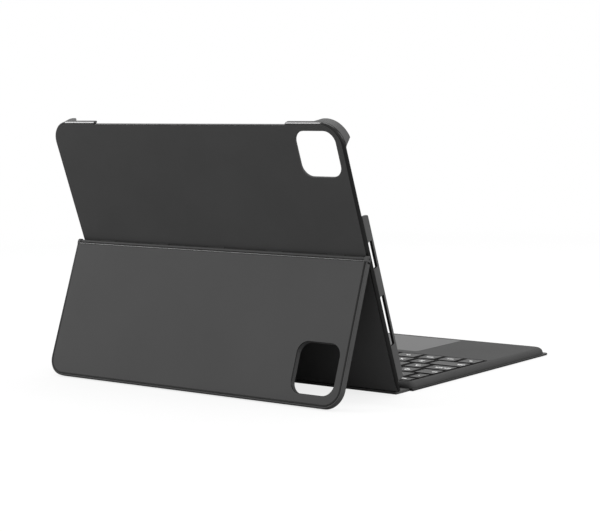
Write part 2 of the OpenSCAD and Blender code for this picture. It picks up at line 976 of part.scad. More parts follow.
// Barrel on feet that reach through the back cover to the tray's plate
module hinge_rail() {
    color("#2c2c2c")
        in_tray()
            difference() {
                union() {
                    translate([-rail_w / 2, hinge_y, axis_z])
                        rotate([0, 90, 0])
                            cylinder(r = barrel_r, h = rail_w);
                    at_rail_feet()
                        translate([-rail_foot_len / 2, -rail_foot_t / 2, axis_z])
                            cube([rail_foot_len, rail_foot_t, rail_foot_z]);
                }
                at_hinge_ends()
                    translate([0, 0, -1])
                        cylinder(r = sleeve_r, h = sleeve_len + 1);
                at_rail_feet()
                    translate([0, 0, plate_z - rail_screw_depth])
                        cylinder(r = rail_screw_r, h = 3);
            }
}

module rail_screws() {
    color("#9a9a9a")
        in_tray()
            at_rail_feet() {
                translate([0, 0, plate_z - rail_screw_depth])
                    cylinder(r = rail_screw_r, h = rail_screw_depth + plate_t / 2 + eps);
                translate([0, 0, plate_z + plate_t / 2])
                    cylinder(r = rail_screw_head, h = plate_t / 2);
            }
}

module friction_sleeves() {
    color("#b8a060")
        in_tray()
            at_hinge_ends()
                difference() {
                    cylinder(r = sleeve_r, h = sleeve_len);
                    translate([0, 0, -1])
                        cylinder(r = pin_r + run_gap, h = sleeve_len + 2);
                }
}

// Steel discs behind the back cover that the stand's magnets hold on to
module at_keepers() {
    for (x = magnet_xs)
        translate([x, hinge_y - magnet_y, 0])
            children();
}

module keeper_discs() {
    color("#9aa0a6")
        in_tray()
            at_keepers()
                translate([0, 0, plate_z])
                    cylinder(r = keeper_r, h = keeper_t);
}

// ---- Stand ----------------------------------------------------------------------------

module stand_outline(inset) {
    outline(-stand_w / 2 + inset, stand_w / 2 - inset, panel_y + inset, stand_len - inset,
            0.5, stand_r - inset);
}

module stand_lens(extra) {
    translate([lens_cx, stand_lens_y])
        lens_outline(stand_lens_size + 2 * extra, lens_r + extra);
}

module stiffener_outline(extra) {
    reach = stand_w / 2 - stiffener_in + extra;
    low = panel_y + stiffener_in - extra;
    outline(-reach, reach, low, stand_lens_y - stand_lens_size / 2 - 4 + extra, 2, 2);
}

module at_stand_magnets() {
    for (x = magnet_xs)
        translate([x, magnet_y, 0])
            children();
}

// Ear at each end of the stand, round about the hinge axis
module stand_ears() {
    for (side = [-1, 1])
        translate([side > 0 ? ear_x : -ear_x - ear_w, 0, 0]) {
            rotate([0, 90, 0])
                cylinder(r = stand_t / 2, h = ear_w);
            translate([0, 0, -stand_t / 2])
                cube([ear_w, panel_y + 2, stand_t]);
        }
}

module stand_frame() {
    color("#3e3e3e")
        in_stand()
            difference() {
                union() {
                    slab(-stand_t / 2, stand_t)
                        stand_outline(0);
                    stand_ears();
                }
                slab(stand_outer, skin_t + 1)
                    stand_outline(rim_w);
                slab(-stand_t / 2 - 1, stand_lining_t + 1)
                    stand_outline(rim_w);
                slab(stand_inner - eps, stiffener_t + eps)
                    stiffener_outline(pocket_gap);
                slab(-stand_t, 2 * stand_t)
                    stand_lens(0);
                at_stand_magnets()
                    translate([0, 0, stand_inner - eps])
                        cylinder(r = magnet_r + pocket_gap, h = magnet_t + eps);
                at_pins()
                    cylinder(r = pin_r, h = ear_w * 4, center = true);
            }
}

module stand_skin() {
    color("#4b4b4b")
        in_stand()
            difference() {
                slab(stand_outer, skin_t)
                    stand_outline(rim_w);
                slab(-stand_t, 2 * stand_t)
                    stand_lens(0.5);
            }
}

module stand_lining() {
    color("#353535")
        in_stand()
            difference() {
                slab(-stand_t / 2, stand_lining_t)
                    stand_outline(rim_w);
                slab(-stand_t, 2 * stand_t)
                    stand_lens(0.5);
            }
}

module stand_stiffener() {
    color("#a8acb0")
        in_stand()
            slab(stand_inner, stiffener_t)
                stiffener_outline(0);
}

module stand_magnets() {
    color("#9aa0a6")
        in_stand()
            at_stand_magnets()
                translate([0, 0, stand_inner])
                    cylinder(r = magnet_r, h = magnet_t);
}

module at_pins() {
    for (side = [-1, 1])
        translate([side * (ear_x + ear_w / 2), 0, 0])
            rotate([0, 90, 0])
                children();
}

// Pins pressed into the ears, running in the sleeves
module hinge_pins() {
    pin_len = ear_w + body_gap + pin_reach;
    color("#c8c8c8")
        in_stand()
            for (side = [-1, 1])
                translate([side > 0 ? ear_x + ear_w - pin_len : -ear_x - ear_w, 0, 0])
                    rotate([0, 90, 0])
                        cylinder(r = pin_r, h = pin_len);
}

// ---- Nodes ----------------------------------------------------------------------------

base_cover();
bottom_case();
deck();
key_frame();
key_support_plate();
membrane_sheet();
rubber_domes();
scissor_links();
main_board();
battery_cells();
flat_cables();
charge_port();
status_light();
case_screws();
closing_magnets();
pad_switch();
pad_bracket();
touch_pad();
pad_board();
power_switch();
function_keys();
key_backquote();
number_keys();
key_backspace();
key_tab();
upper_letter_keys();
key_backslash();
key_caps_lock();
home_letter_keys();
key_enter();
key_left_shift();
lower_letter_keys();
key_right_shift();
modifier_keys();
key_left_alt();
key_space();
key_right_alt();
key_right_control();
key_arrow_left();
key_arrow_up();
key_arrow_down();
key_arrow_right();
spine_cover();
spine_board();
spine_lining();
tablet_tray();
tray_lining();
back_cover();
cover_lining();
hinge_rail();
rail_screws();
friction_sleeves();
keeper_discs();
stand_frame();
stand_skin();
stand_lining();
stand_stiffener();
stand_magnets();
hinge_pins();
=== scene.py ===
"""Looks of a tablet keyboard case: soft-touch covers, a snap-in tray, a hinged stand and a keyboard.

Sizes in this file are millimetres, as in the part's source. Each piece is built in its own flat
frame (the keyboard's, the tray's or the stand's) and set in place by one matrix.
"""

import functools
import json
import math

import bmesh
import bpy
from mathutils import Matrix, Vector

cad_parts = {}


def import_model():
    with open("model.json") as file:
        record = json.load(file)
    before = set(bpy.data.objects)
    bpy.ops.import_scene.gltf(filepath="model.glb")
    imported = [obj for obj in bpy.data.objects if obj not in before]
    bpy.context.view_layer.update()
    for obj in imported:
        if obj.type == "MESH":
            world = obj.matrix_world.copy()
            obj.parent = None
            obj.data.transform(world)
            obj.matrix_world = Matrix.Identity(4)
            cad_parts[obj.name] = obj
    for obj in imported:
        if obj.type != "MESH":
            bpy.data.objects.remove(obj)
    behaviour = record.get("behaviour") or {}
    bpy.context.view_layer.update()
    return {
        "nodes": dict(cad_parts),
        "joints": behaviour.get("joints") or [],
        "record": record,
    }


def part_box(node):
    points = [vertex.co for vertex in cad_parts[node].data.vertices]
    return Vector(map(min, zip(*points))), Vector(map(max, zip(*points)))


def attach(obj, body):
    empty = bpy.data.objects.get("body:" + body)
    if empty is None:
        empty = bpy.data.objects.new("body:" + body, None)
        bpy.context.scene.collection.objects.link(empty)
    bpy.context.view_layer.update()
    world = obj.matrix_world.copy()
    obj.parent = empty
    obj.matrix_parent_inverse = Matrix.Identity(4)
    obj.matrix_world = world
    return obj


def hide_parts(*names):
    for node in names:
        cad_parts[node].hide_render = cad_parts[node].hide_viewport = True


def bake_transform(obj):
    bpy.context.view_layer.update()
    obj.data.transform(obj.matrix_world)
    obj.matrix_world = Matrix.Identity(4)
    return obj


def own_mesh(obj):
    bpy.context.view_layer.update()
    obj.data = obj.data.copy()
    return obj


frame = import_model()

MM = 0.001
JOINTS = {joint["name"]: joint for joint in frame["joints"]}

# ---- Sizes ----

LEAN = 19.8
STAND_LEAN = 19.95127
HALF_W = 125.5
SPINE_HALF = 122.5
SHEET_T = 1.8
FOLD_R = SHEET_T / 2

# Tray, from the rear fold: y up the back, z towards the tablet
TRAY_LOW = 7.6
TRAY_TOP = 189.5
TRAY_BACK = -0.9
PLATE_TOP = 0.9
TRAY_RIM = 7.8
SHORT_RIM = 3.0
LIP_T = 0.6
WALL = 1.4
LIP = 0.8
TOP_R = 16.0
FOOT_R = 1.5
EDGE_R = 0.35
SIDE_WALL_TOP = 126.0
SIDE_WALL_SLOPE = 2.6
GRIP_LOW = 172.0
GRIP_RUN = 5.0
GRIP_END = 103.0
GRIP_END_RUN = 5.0
SHORT_WALL_END = 83.0
NOTCH = 1.4
LENS_X = -103.7
LENS_Y = 168.5
LENS = 31.0
LENS_R = 8.0
SLOT_W = 3.2
SLOT_Z = 3.2
SLOT_R = 0.8
SLOT_FLARE = 1.1
SLOTS = ((98.55, 18.5), (51.8, 35.5))

# Stand, from the hinge axis: y to the foot, z outward
STAND_HALF_W = 127.3
STAND_TOP = 1.8
STAND_FOOT = 97.6
STAND_HALF_T = 2.1
PANEL_TOP = 1.3
STAND_FOOT_R = 13.0
STAND_LENS_Y = 73.0
STAND_LENS = 33.6
RIM = 1.0
SKIN_T = 0.6
LINING_T = 0.5
EAR_W = 2.7

# Keyboard, from the middle of its underside
KEYBOARD_FRONT = -92.0
CASE_FRONT = -90.5
CASE_BACK = 89.6
CASE_HALF = 124.0
COVER_BACK = 90.8
FLOOR = 2.4
DECK_LOW = 5.2
DECK_TOP = 6.2
DECK_R = 9.0
CASE_WALL = 1.2
DECK_BULGE = 1.2
DECK_EDGE_IN = 4.0
DECK_EDGE_RISE = 3.6
DECK_EDGE_DROP = 3.0
WELL = (-121.1, 121.1, -13.1, 88.1)
PAD = (-55.0, 55.0, -84.5, -21.0)
PAD_R = 3.0
PAD_LOW = 5.4
PAD_GAP = 0.3

FRONT_FOLD_Y = 92.0
REAR_FOLD_Y = 106.0
FOLD_REACH = 1.2


# ---- Frames ----

# millimetres in the keyboard's frame to metres in the part's
FLAT = Matrix.Scale(MM, 4)


def tilted(joint, degrees):
    """Millimetres in a frame on the joint's axis, turned about X, to metres in the part's."""
    turn = Matrix.Rotation(math.radians(degrees), 4, "X")
    return Matrix.Translation(JOINTS[joint]["pos_m"]) @ turn @ FLAT


# the tray leans back from the rear fold, and the stand leans out from its hinge
TRAY_FRAME = tilted("tray_fold", 90 - LEAN)
STAND_FRAME = tilted("stand_hinge", STAND_LEAN - 90)


# ---- Mesh helpers ----

# points closer than this, in mm, become one
WELD = 0.0005
# faces that meet at more than this angle keep a sharp edge
SHARP = math.radians(32)


def arc(x, y, r, start, sweep, steps):
    """Points of a circle about (x, y), from the angle start on through sweep, in degrees."""
    turns = [math.radians(start + sweep * k / steps) for k in range(steps + 1)]
    return [(x + r * math.cos(turn), y + r * math.sin(turn)) for turn in turns]


def rounded_rect(x0, x1, y0, y1, low_r, high_r, steps=8):
    """Outline with its low and high corners rounded, anticlockwise."""
    points = []
    corners = ((x1, y0, low_r, -90), (x1, y1, high_r, 0), (x0, y1, high_r, 90), (x0, y0, low_r, 180))
    for x, y, r, start in corners:
        centre_x = x - r if x == x1 else x + r
        centre_y = y + r if y == y0 else y - r
        points += arc(centre_x, centre_y, r, start, 90, steps)
    return points


def inset_rect(rect, inset, steps=8):
    """The outline of rect = (x0, x1, y0, y1, low_r, high_r), moved in by inset all round."""
    x0, x1, y0, y1, low_r, high_r = rect
    least_r = 0.02
    radii = (max(low_r - inset, least_r), max(high_r - inset, least_r))
    return rounded_rect(x0 + inset, x1 - inset, y0 + inset, y1 - inset, *radii, steps)


def loft(mesh, rings, slots=()):
    """Joins rings of equally many points with quads. Returns the rings as vertices.

    slots gives the material slot of each row of quads, where it isn't the first.
    """
    made = [[mesh.verts.new(p) for p in ring] for ring in rings]
    for row, (low, high) in enumerate(zip(made, made[1:])):
        count = len(low)
        for k in range(count):
            n = (k + 1) % count
            face = mesh.faces.new((low[k], low[n], high[n], high[k]))
            face.material_index = slots[row] if row < len(slots) else 0
    return made


def close(mesh, *loops):
    """Fills the flat region between closed loops of vertices."""
    edges = []
    for loop in loops:
        for a, b in zip(loop, loop[1:] + loop[:1]):
            edges.append(mesh.edges.get((a, b)) or mesh.edges.new((a, b)))
    bmesh.ops.triangle_fill(mesh, use_beauty=True, edges=edges)


def solid(mesh, rings, slots=()):
    """Joins the rings and closes both ends."""
    made = loft(mesh, rings, slots)
    close(mesh, made[0])
    close(mesh, made[-1])


def close_level(mesh, z):
    """Welds the mesh and fills the flat region that its open edges bound at height z."""
    bmesh.ops.remove_doubles(mesh, verts=mesh.verts, dist=WELD)
    edges = [e for e in mesh.edges if e.is_boundary and all(abs(v.co.z - z) < WELD for v in e.verts)]
    bmesh.ops.triangle_fill(mesh, use_beauty=True, edges=edges)


def rect_rings(rect, profile, steps=8):
    """One ring for each (inset, z) pair of the profile."""
    return [[(x, y, z) for x, y in inset_rect(rect, inset, steps)] for inset, z in profile]


def widened(pairs):
    """(inset, z) pairs with each inset turned outward, as for a hole."""
    return [(-inset, z) for inset, z in pairs]


def round_edge(inset, z, r, start, steps=4):
    """(inset, z) pairs of a quarter circle of radius r about (inset, z), from angle start.

    Angle 0 points out of the outline and 90 points up.
    """
    return widened(arc(-inset, z, r, start, 90, steps))


def add_object(name, data):
    """A new object in the scene."""
    made = bpy.data.objects.new(name, data)
    bpy.context.scene.collection.objects.link(made)
    return made


def finish_mesh(name, mesh, materials, place=FLAT, sharp=SHARP):
    """Cleans the mesh, sets it in place and makes the object."""
    bmesh.ops.remove_doubles(mesh, verts=mesh.verts, dist=WELD)
    bmesh.ops.dissolve_degenerate(mesh, dist=WELD, edges=mesh.edges)
    bmesh.ops.recalc_face_normals(mesh, faces=mesh.faces)
    mesh.transform(place)
    data = bpy.data.meshes.new(name)
    mesh.to_mesh(data)
    mesh.free()
    data.shade_smooth()
    data.set_sharp_from_angle(angle=sharp)
    for material in materials:
        data.materials.append(material)
    return add_object(name, data)


def weigh_normals(piece):
    """Flat faces stay flat where they meet a rounded edge."""
    weighted = piece.modifiers.new("flat_faces", "WEIGHTED_NORMAL")
    weighted.keep_sharp = True
    weighted.weight = 80


def cut(piece, cutter):
    """Takes the cutter's shape out of the piece, and removes the cutter."""
    boolean = piece.modifiers.new("cut", "BOOLEAN")
    boolean.operation = "DIFFERENCE"
    boolean.solver = "EXACT"
    boolean.material_mode = "TRANSFER"
    boolean.object = cutter
    graph = bpy.context.evaluated_depsgraph_get()
    result = bpy.data.meshes.new_from_object(piece.evaluated_get(graph))
    piece.modifiers.remove(boolean)
    piece.data = result
    result.shade_smooth()
    result.set_sharp_from_angle(angle=SHARP)
    bpy.data.objects.remove(cutter)


def extrude_outline(name, outline, z0, z1, place=FLAT):
    """Straight prism, for cutting."""
    mesh = bmesh.new()
    solid(mesh, [[(x, y, z) for x, y in outline] for z in (z0, z1)])
    return finish_mesh(name, mesh, (), place)


def add_piece(piece, body, slot, *nodes):
    """The piece rides on a body, and stands for the CAD nodes."""
    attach(piece, body)
    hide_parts(*nodes)


# ---- Materials ----


def linear(hex_colour):
    """sRGB hex to linear RGBA."""
    channels = [int(hex_colour[k : k + 2], 16) / 255 for k in (1, 3, 5)]
    return [c / 12.92 if c <= 0.04045 else ((c + 0.055) / 1.055) ** 2.4 for c in channels] + [1.0]


WHITE = (1.0, 1.0, 1.0, 1.0)


def per_size(size_mm):
    """Texture scale at which a feature is size_mm across."""
    return 1 / (size_mm * MM)


def emptied(owner):
    """The node tree of a material or world, emptied."""
    owner.use_nodes = True
    owner.node_tree.nodes.clear()
    return owner.node_tree


def add_node(tree, kind, inputs=None, **settings):
    """Adds a node, with its settings. Its inputs are values, sockets, or nodes' first outputs."""
    made = tree.nodes.new(kind)
    for name, value in settings.items():
        setattr(made, name, value)
    for name, value in (inputs or {}).items():
        if isinstance(value, bpy.types.Node):
            value = value.outputs[0]
        if isinstance(value, bpy.types.NodeSocket):
            tree.links.new(value, made.inputs[name])
        else:
            made.inputs[name].default_value = value
    return made


def surface(name, tones, patch, grain, depth, rough, specular=0.5, stretch=(1.0, 1.0, 1.0), **shader):
    """Material of a moulded, cast, rolled or knitted surface.

    tones are its darker and lighter colours, which change slowly over patch mm. Its grain is
    grain mm across and depth mm high, drawn out by stretch, and rough is its range of roughness.
    """
    material = bpy.data.materials.new(name)
    tree = emptied(material)
    place = add_node(tree, "ShaderNodeTexCoord").outputs["Object"]
    drawn_out = add_node(tree, "ShaderNodeMapping", {"Vector": place, "Scale": stretch})
    wide = {"Vector": place, "Scale": per_size(patch), "Detail": 3.0, "Roughness": 0.55}
    fine = {"Vector": drawn_out, "Scale": per_size(grain), "Detail": 3.0}
    patches = add_node(tree, "ShaderNodeTexNoise", wide)
    grains = add_node(tree, "ShaderNodeTexNoise", fine)
    tone = add_node(tree, "ShaderNodeValToRGB", {"Fac": patches})
    for stop, position, colour in zip(tone.color_ramp.elements, (0.3, 0.7), tones):
        stop.position = position
        stop.color = linear(colour)
    gloss = add_node(tree, "ShaderNodeMapRange", {"Value": grains, "To Min": rough[0], "To Max": rough[1]})
    relief = add_node(tree, "ShaderNodeBump", {"Height": grains, "Strength": 1.0, "Distance": depth * MM})
    inputs = {"Base Color": tone, "Roughness": gloss, "Normal": relief, "Specular IOR Level": specular}
    inputs.update({key.replace("_", " "): value for key, value in shader.items()})
    shaded = add_node(tree, "ShaderNodeBsdfPrincipled", inputs)
    add_node(tree, "ShaderNodeOutputMaterial", {"Surface": shaded})
    return material


# matt and slightly velvety where it is seen edge on
SHEET_FILM = surface(
    "polyurethane_film_cast_soft_touch", ("#414141", "#454545"),
    patch=45, grain=0.5, depth=0.012, rough=(0.58, 0.65), specular=0.3,
)
# the same film round an edge, smooth, with a sharp gleam; its near-black colour is painted shade for the
# dark band along rolled edges, seams and hole walls
SHEET_EDGE_PAINTED_SHADE = surface(
    "polyurethane_film_edge_painted_shade", ("#101010", "#131313"),
    patch=30, grain=4, depth=0.0005, rough=(0.15, 0.17), specular=0.35,
)
# moulded polycarbonate under a matt rubber coat
TRAY_COAT = surface(
    "polycarbonate_moulded_rubber_coated", ("#4c4c4c", "#505050"),
    patch=25, grain=0.8, depth=0.006, rough=(0.5, 0.58), specular=0.25,
)
# the same film laid over a flat panel: even, and a shade darker
PANEL_FILM = surface(
    "polyurethane_film_laid_on_panel", ("#404040", "#434343"),
    patch=60, grain=0.5, depth=0.012, rough=(0.58, 0.65), specular=0.3,
)
# short fibres brushed one way, about 0.02 mm wide, drawn 0.35 mm wide so that they show
MICROFIBRE = surface(
    "polyester_microfibre_knitted_brushed", ("#38383a", "#3d3d3f"),
    patch=18, grain=0.35, depth=0.05, rough=(0.8, 0.95),
    stretch=(1.0, 0.25, 0.25), specular=0.25, Sheen_Weight=0.35, Sheen_Roughness=0.5,
)
# even low sheen from a finely blasted mould
DECK = surface(
    "abs_moulded_fine_blasted", ("#444444", "#474747"),
    patch=30, grain=0.35, depth=0.01, rough=(0.6, 0.68), specular=0.05,
)
# satin, a little polished by fingers in patches
KEYCAP = surface(
    "abs_keycap_moulded_satin", ("#3e3e3e", "#424242"),
    patch=9, grain=0.3, depth=0.008, rough=(0.5, 0.58), specular=0.25,
)
# smoother than the deck round it
TOUCH_PAD = surface(
    "polyester_film_hard_coated", ("#2a2a2a", "#2d2d2d"),
    patch=25, grain=0.25, depth=0.004, rough=(0.38, 0.43), specular=0.45,
)
# matt white that covers a touch unevenly
INK = surface(
    "ink_pad_printed_white", ("#e8e8e8", "#f2f2f2"),
    patch=1.5, grain=0.2, depth=0.004, rough=(0.45, 0.55),
)
# nearly black, with the faint mottle of glass-filled nylon; the same black laid on keycap sides and on the
# slots' walls is painted shade
BLACK_NYLON_AND_PAINTED_SHADE = surface(
    "nylon_glass_filled_moulded", ("#060606", "#090909"),
    patch=6, grain=0.4, depth=0.015, rough=(0.6, 0.7), specular=0.12,
)
# milky and faintly see-through at thin places
NATURAL_NYLON = surface(
    "nylon_natural_moulded", ("#cfcdc4", "#dddbd2"),
    patch=5, grain=0.4, depth=0.01, rough=(0.42, 0.5),
)
# greyish, satin, lets a little light in
SILICONE = surface(
    "silicone_compression_moulded", ("#b9bbbb", "#c6c8c8"),
    patch=8, grain=0.5, depth=0.01, rough=(0.4, 0.5), Subsurface_Weight=0.1, Subsurface_Scale=0.002,
)
# cool grey with fine rolling marks along X
STEEL = surface(
    "steel_rolled_nickel_plated", ("#9fa1a4", "#b6b8bb"),
    patch=12, grain=0.5, depth=0.004, rough=(0.28, 0.4), stretch=(0.2, 1.0, 1.0), Metallic=1.0,
)
# warm and dull, slightly porous
BRONZE = surface(
    "bronze_sintered", ("#8f7448", "#a88a58"),
    patch=1.5, grain=0.3, depth=0.01, rough=(0.42, 0.55), Metallic=1.0,
)
# pale metal with soft creases
FOIL = surface(
    "aluminium_foil_laminated", ("#b3b5b8", "#c6c8ca"),
    patch=14, grain=7, depth=0.1, rough=(0.3, 0.45), Metallic=1.0,
)
# amber film, glossy
TRACK_FILM = surface(
    "polyester_film_printed_tracks", ("#a8813c", "#b99350"),
    patch=3, grain=0.5, depth=0.004, rough=(0.22, 0.3),
)
# glossy green with the copper's pattern just showing as a mottle
SOLDER_MASK = surface(
    "solder_mask_on_copper_laminate", ("#12402a", "#195236"),
    patch=4, grain=0.6, depth=0.01, rough=(0.2, 0.32), Coat_Weight=0.3, Coat_Roughness=0.1,
)
# pale, glossy and half clear
ACRYLIC = surface(
    "acrylic_moulded_clear", ("#d5ddd5", "#e2e8e2"),
    patch=2, grain=0.4, depth=0.003, rough=(0.08, 0.15), Transmission_Weight=0.4,
)
# dark grey, matt, with the glass fibres as a fine even grain
HINGE_NYLON = surface(
    "nylon_glass_filled_moulded", ("#303030", "#353535"),
    patch=12, grain=0.3, depth=0.008, rough=(0.5, 0.6), specular=0.3,
)

MATERIALS = {
    "soft_touch_cover": SHEET_FILM,
    "tray_plastic": SHEET_FILM,
    "hinge_plastic": HINGE_NYLON,
    "black_plastic": BLACK_NYLON_AND_PAINTED_SHADE,
    "microfibre": MICROFIBRE,
    "deck_plastic": DECK,
    "touch_pad_surface": TOUCH_PAD,
    "keycap_plastic": KEYCAP,
    "scissor_nylon": NATURAL_NYLON,
    "steel": STEEL,
    "membrane_film": TRACK_FILM,
    "dome_rubber": SILICONE,
    "circuit_board": SOLDER_MASK,
    "battery_foil": FOIL,
    "light_pipe": ACRYLIC,
    "bronze": BRONZE,
}


def dress_cad_nodes():
    """Every CAD node gets its record slot's material."""
    slots = {s["node"]: s["material_slot"] for s in frame["record"]["subparts"]}
    for name, node in frame["nodes"].items():
        node.data.materials.clear()
        node.data.materials.append(MATERIALS[slots[name]])


# ---- Tray ----

ROLL_STEPS = 6
# (radius, turn, facet) of the sheet's edge: sides, along the top, in the notch and at the fold
SIDE_ROLL = (1.75, math.radians(65), 0.7)
TOP_ROLL = (0.5, math.radians(50), 0.75)
NOTCH_ROLL = (0.5, math.radians(88), 0.01)
FOLD_ROLL = (0.88, math.radians(88), 0.01)
CAP_INSET = 3.0
LOW = PLATE_TOP
SHEET_EDGE_Z = 0.85
# (inset, rise) of the seam between the sheet's edge and the wall, full under walls SEAM_RISE high
TRAY_SEAM = ((0.15, 0.12), (0.68, 0.15), (0.68, 0.5), (0.12, 0.65))
SEAM_RISE = 1.2
# rows of the edge's profile: the sheet's pressed edge in near-black painted shade, then the coated seam
# and wall
SHADED_EDGE_ROWS = ROLL_STEPS + 1
COAT_ROWS = 14


def blend_between(low, high, share):
    """low where share is 0, high where it is 1."""
    return low + (high - low) * share


def wall_points(outer, height, lip, share):
    """(inset, z) pairs over the rim of a wall, under its lip and down to the plate.

    share is 1 for a full wall and 0 for a plain edge, whose points fall together.
    """
    pairs = round_edge(outer + EDGE_R, height - EDGE_R, EDGE_R, 0, 3)
    over = outer + EDGE_R
    tip = blend_between(over, WALL + lip, share)
    under = height - (LIP_T if lip else EDGE_R) * share
    pairs.append((blend_between(over, tip - EDGE_R / 2, share), height))
    pairs.append((tip, height - EDGE_R / 2 * share))
    pairs.append((tip, under))
    pairs.append((blend_between(over, WALL, share), under - lip / 4))
    pairs.append((blend_between(over, WALL, share), PLATE_TOP))
    return pairs


def tray_profile(roll, height, lip):
    """(inset, z) pairs: flat back, rolled sheet edge, seam, wall, and down to the plate.

    The roll is (radius, turn, facet): the sheet bends through the turn, runs on flat for the
    length of the facet, and then stands square to the back.
    """
    bend_r, full_turn, facet = roll
    run = bend_r * math.sin(full_turn) + facet * math.cos(full_turn)
    pairs = []
    for k in range(ROLL_STEPS):
        turn = full_turn * k / (ROLL_STEPS - 1)
        pairs.append((run - bend_r * math.sin(turn), TRAY_BACK + bend_r * (1 - math.cos(turn))))
    pairs.append((0.0, pairs[-1][1] + facet * math.sin(full_turn)))
    pairs.append((0.0, SHEET_EDGE_Z))
    share = min(1.0, max(0.0, (height - LOW) / SEAM_RISE))
    pairs += [(inset * share, SHEET_EDGE_Z + rise * share) for inset, rise in TRAY_SEAM]
    pairs += wall_points(pairs[-1][0], height, lip, share)
    pairs.append((CAP_INSET, PLATE_TOP))
    return pairs


def between_rolls(low, high, share):
    """A roll between two others."""
    return tuple(blend_between(a, b, share) for a, b in zip(low, high))


def station(x, y, r, turn, roll, height, lip=0):
    """One entry of the tray's edge, on a corner's arc of radius r about (x, y)."""
    nx, ny = math.cos(turn), math.sin(turn)
    return (x + r * nx, y + r * ny, nx, ny, roll, height, lip)


def on_side(y, height, lip=0, roll=SIDE_ROLL):
    """One entry of the tray's edge, on its straight side."""
    return (HALF_W, y, 1, 0, roll, height, lip)


def side_edge():
    """Right half of the tray's edge, from the bottom middle to the top middle.

    Each entry is x, y, outward x, outward y, roll, height, lip.
    """
    foot_r = 1.0
    foot_y = FOLD_REACH
    edge = [(0, foot_y, 0, -1, FOLD_ROLL, LOW, 0)]
    for k in range(5):
        turn = math.radians(-90 + 90 * k / 4)
        edge.append(station(HALF_W - foot_r, foot_y + foot_r, foot_r, turn, FOLD_ROLL, LOW))
    for y, share in ((4.0, 0.4), (6.0, 0.8), (8.0, 1.0)):
        edge.append(on_side(y, LOW, 0, between_rolls(FOLD_ROLL, SIDE_ROLL, share)))
    wall_low = TRAY_LOW + FOOT_R
    lip_run = 3.0
    slope_y = SIDE_WALL_TOP - SIDE_WALL_SLOPE
    edge += [on_side(wall_low, LOW), on_side(wall_low, TRAY_RIM)]
    edge += [on_side(wall_low + lip_run, TRAY_RIM, LIP), on_side(slope_y - lip_run, TRAY_RIM, LIP)]
    steps = 8
    hollow = 2.5
    for k in range(steps + 1):
        up = k / steps
        height = blend_between(TRAY_RIM, LOW, up**hollow)
        edge.append(on_side(slope_y + SIDE_WALL_SLOPE * up, height))
    return edge + grip_edge() + top_edge()


def grip_height(y):
    """Height of the corner grip's side: it runs out on the plate's edge in a hollow slope."""
    up = min(1.0, max(0.0, (y - GRIP_LOW) / GRIP_RUN))
    return blend_between(LOW, TRAY_RIM, up * up * (1.9 - 0.9 * up))


def grip_edge():
    """The side above the wall, and the upper corner with its grip."""
    centre = (HALF_W - TOP_R, TRAY_TOP - TOP_R)
    edge = []
    for k in range(5):
        y = GRIP_LOW + (centre[1] - GRIP_LOW) * k / 5
        edge.append(on_side(y, grip_height(y)))
    full_turn = math.asin((GRIP_LOW + GRIP_RUN - centre[1]) / TOP_R)
    for k in range(5):
        turn = full_turn * k / 4
        height = grip_height(centre[1] + TOP_R * math.sin(turn))
        edge.append(station(*centre, TOP_R, turn, corner_roll(turn), height))
    steps = 16
    for k in range(1, steps + 1):
        turn = full_turn + (math.pi / 2 - full_turn) * k / steps
        lip = LIP if k > 1 else 0
        edge.append(station(*centre, TOP_R, turn, corner_roll(turn), TRAY_RIM, lip))
    return edge


def corner_roll(turn):
    """The sheet's roll on the upper corner's arc."""
    return between_rolls(SIDE_ROLL, TOP_ROLL, turn / (math.pi / 2))


def top_edge():
    """The top edge from the corner to its middle: grip, short wall, notch."""
    edge = []
    steps = 8
    for k in range(steps + 1):
        down = k / steps
        x = blend_between(GRIP_END + GRIP_END_RUN, GRIP_END, down)
        height = blend_between(TRAY_RIM, SHORT_RIM, down * down * (3 - 2 * down))
        edge.append((x, TRAY_TOP, 0, 1, TOP_ROLL, height, 0))
    return edge + [
        (SHORT_WALL_END + 0.3, TRAY_TOP, 0, 1, TOP_ROLL, SHORT_RIM, 0),
        (SHORT_WALL_END, TRAY_TOP, 0, 1, TOP_ROLL, SHORT_RIM - 0.25, 0),
        (SHORT_WALL_END, TRAY_TOP - NOTCH, 0, 1, NOTCH_ROLL, LOW, 0),
        (0, TRAY_TOP - NOTCH, 0, 1, NOTCH_ROLL, LOW, 0),
    ]


def column(x, y, nx, ny, pairs):
    """A profile's points, set up at (x, y) with its insets against the outward direction."""
    return [(x - nx * inset, y - ny * inset, z) for inset, z in pairs]


def tray_rings():
    """One closed ring of points for each step of the profile."""
    right = side_edge()
    left = [(-x, y, -nx, ny, *rest) for x, y, nx, ny, *rest in reversed(right)]
    columns = []
    for x, y, nx, ny, *rest in right[:-1] + left[:-1]:
        columns.append(column(x, y, nx, ny, tray_profile(*rest)))
    return [list(ring) for ring in zip(*columns)]


def lens_rect(y, size):
    """Square opening with round corners, as an outline."""
    half = size / 2
    return (LENS_X - half, LENS_X + half, y - half, y + half, LENS_R, LENS_R)


def tray_shell():
    """Back with rolled edges, side walls, corner grips and short top walls, in one piece."""
    mesh = bmesh.new()
    # the sheet's rolled edge takes the near-black material: painted shade for the dark band along it
    loft(mesh, tray_rings(), [1] * SHADED_EDGE_ROWS + [2] * COAT_ROWS)
    edge_r = 0.5
    profile = round_edge(edge_r, TRAY_BACK + edge_r, edge_r, -90)
    profile += round_edge(edge_r, PLATE_TOP - edge_r, edge_r, 0)
    loft(mesh, rect_rings(lens_rect(LENS_Y, LENS), widened(profile), 10))
    close_level(mesh, TRAY_BACK)
    close_level(mesh, PLATE_TOP)
    add_lower_wall(mesh)
    piece = finish_mesh("tray_shell", mesh, [SHEET_FILM, SHEET_EDGE_PAINTED_SHADE, TRAY_COAT], TRAY_FRAME)
    # the cutters leave black painted shade on the slots' walls
    for y, length in SLOTS:
        cut(piece, slot_cutter(y, length))
    weigh_normals(piece)
    add_piece(piece, "tray", "tray_plastic", "tablet_tray", "back_cover", "cover_lining")


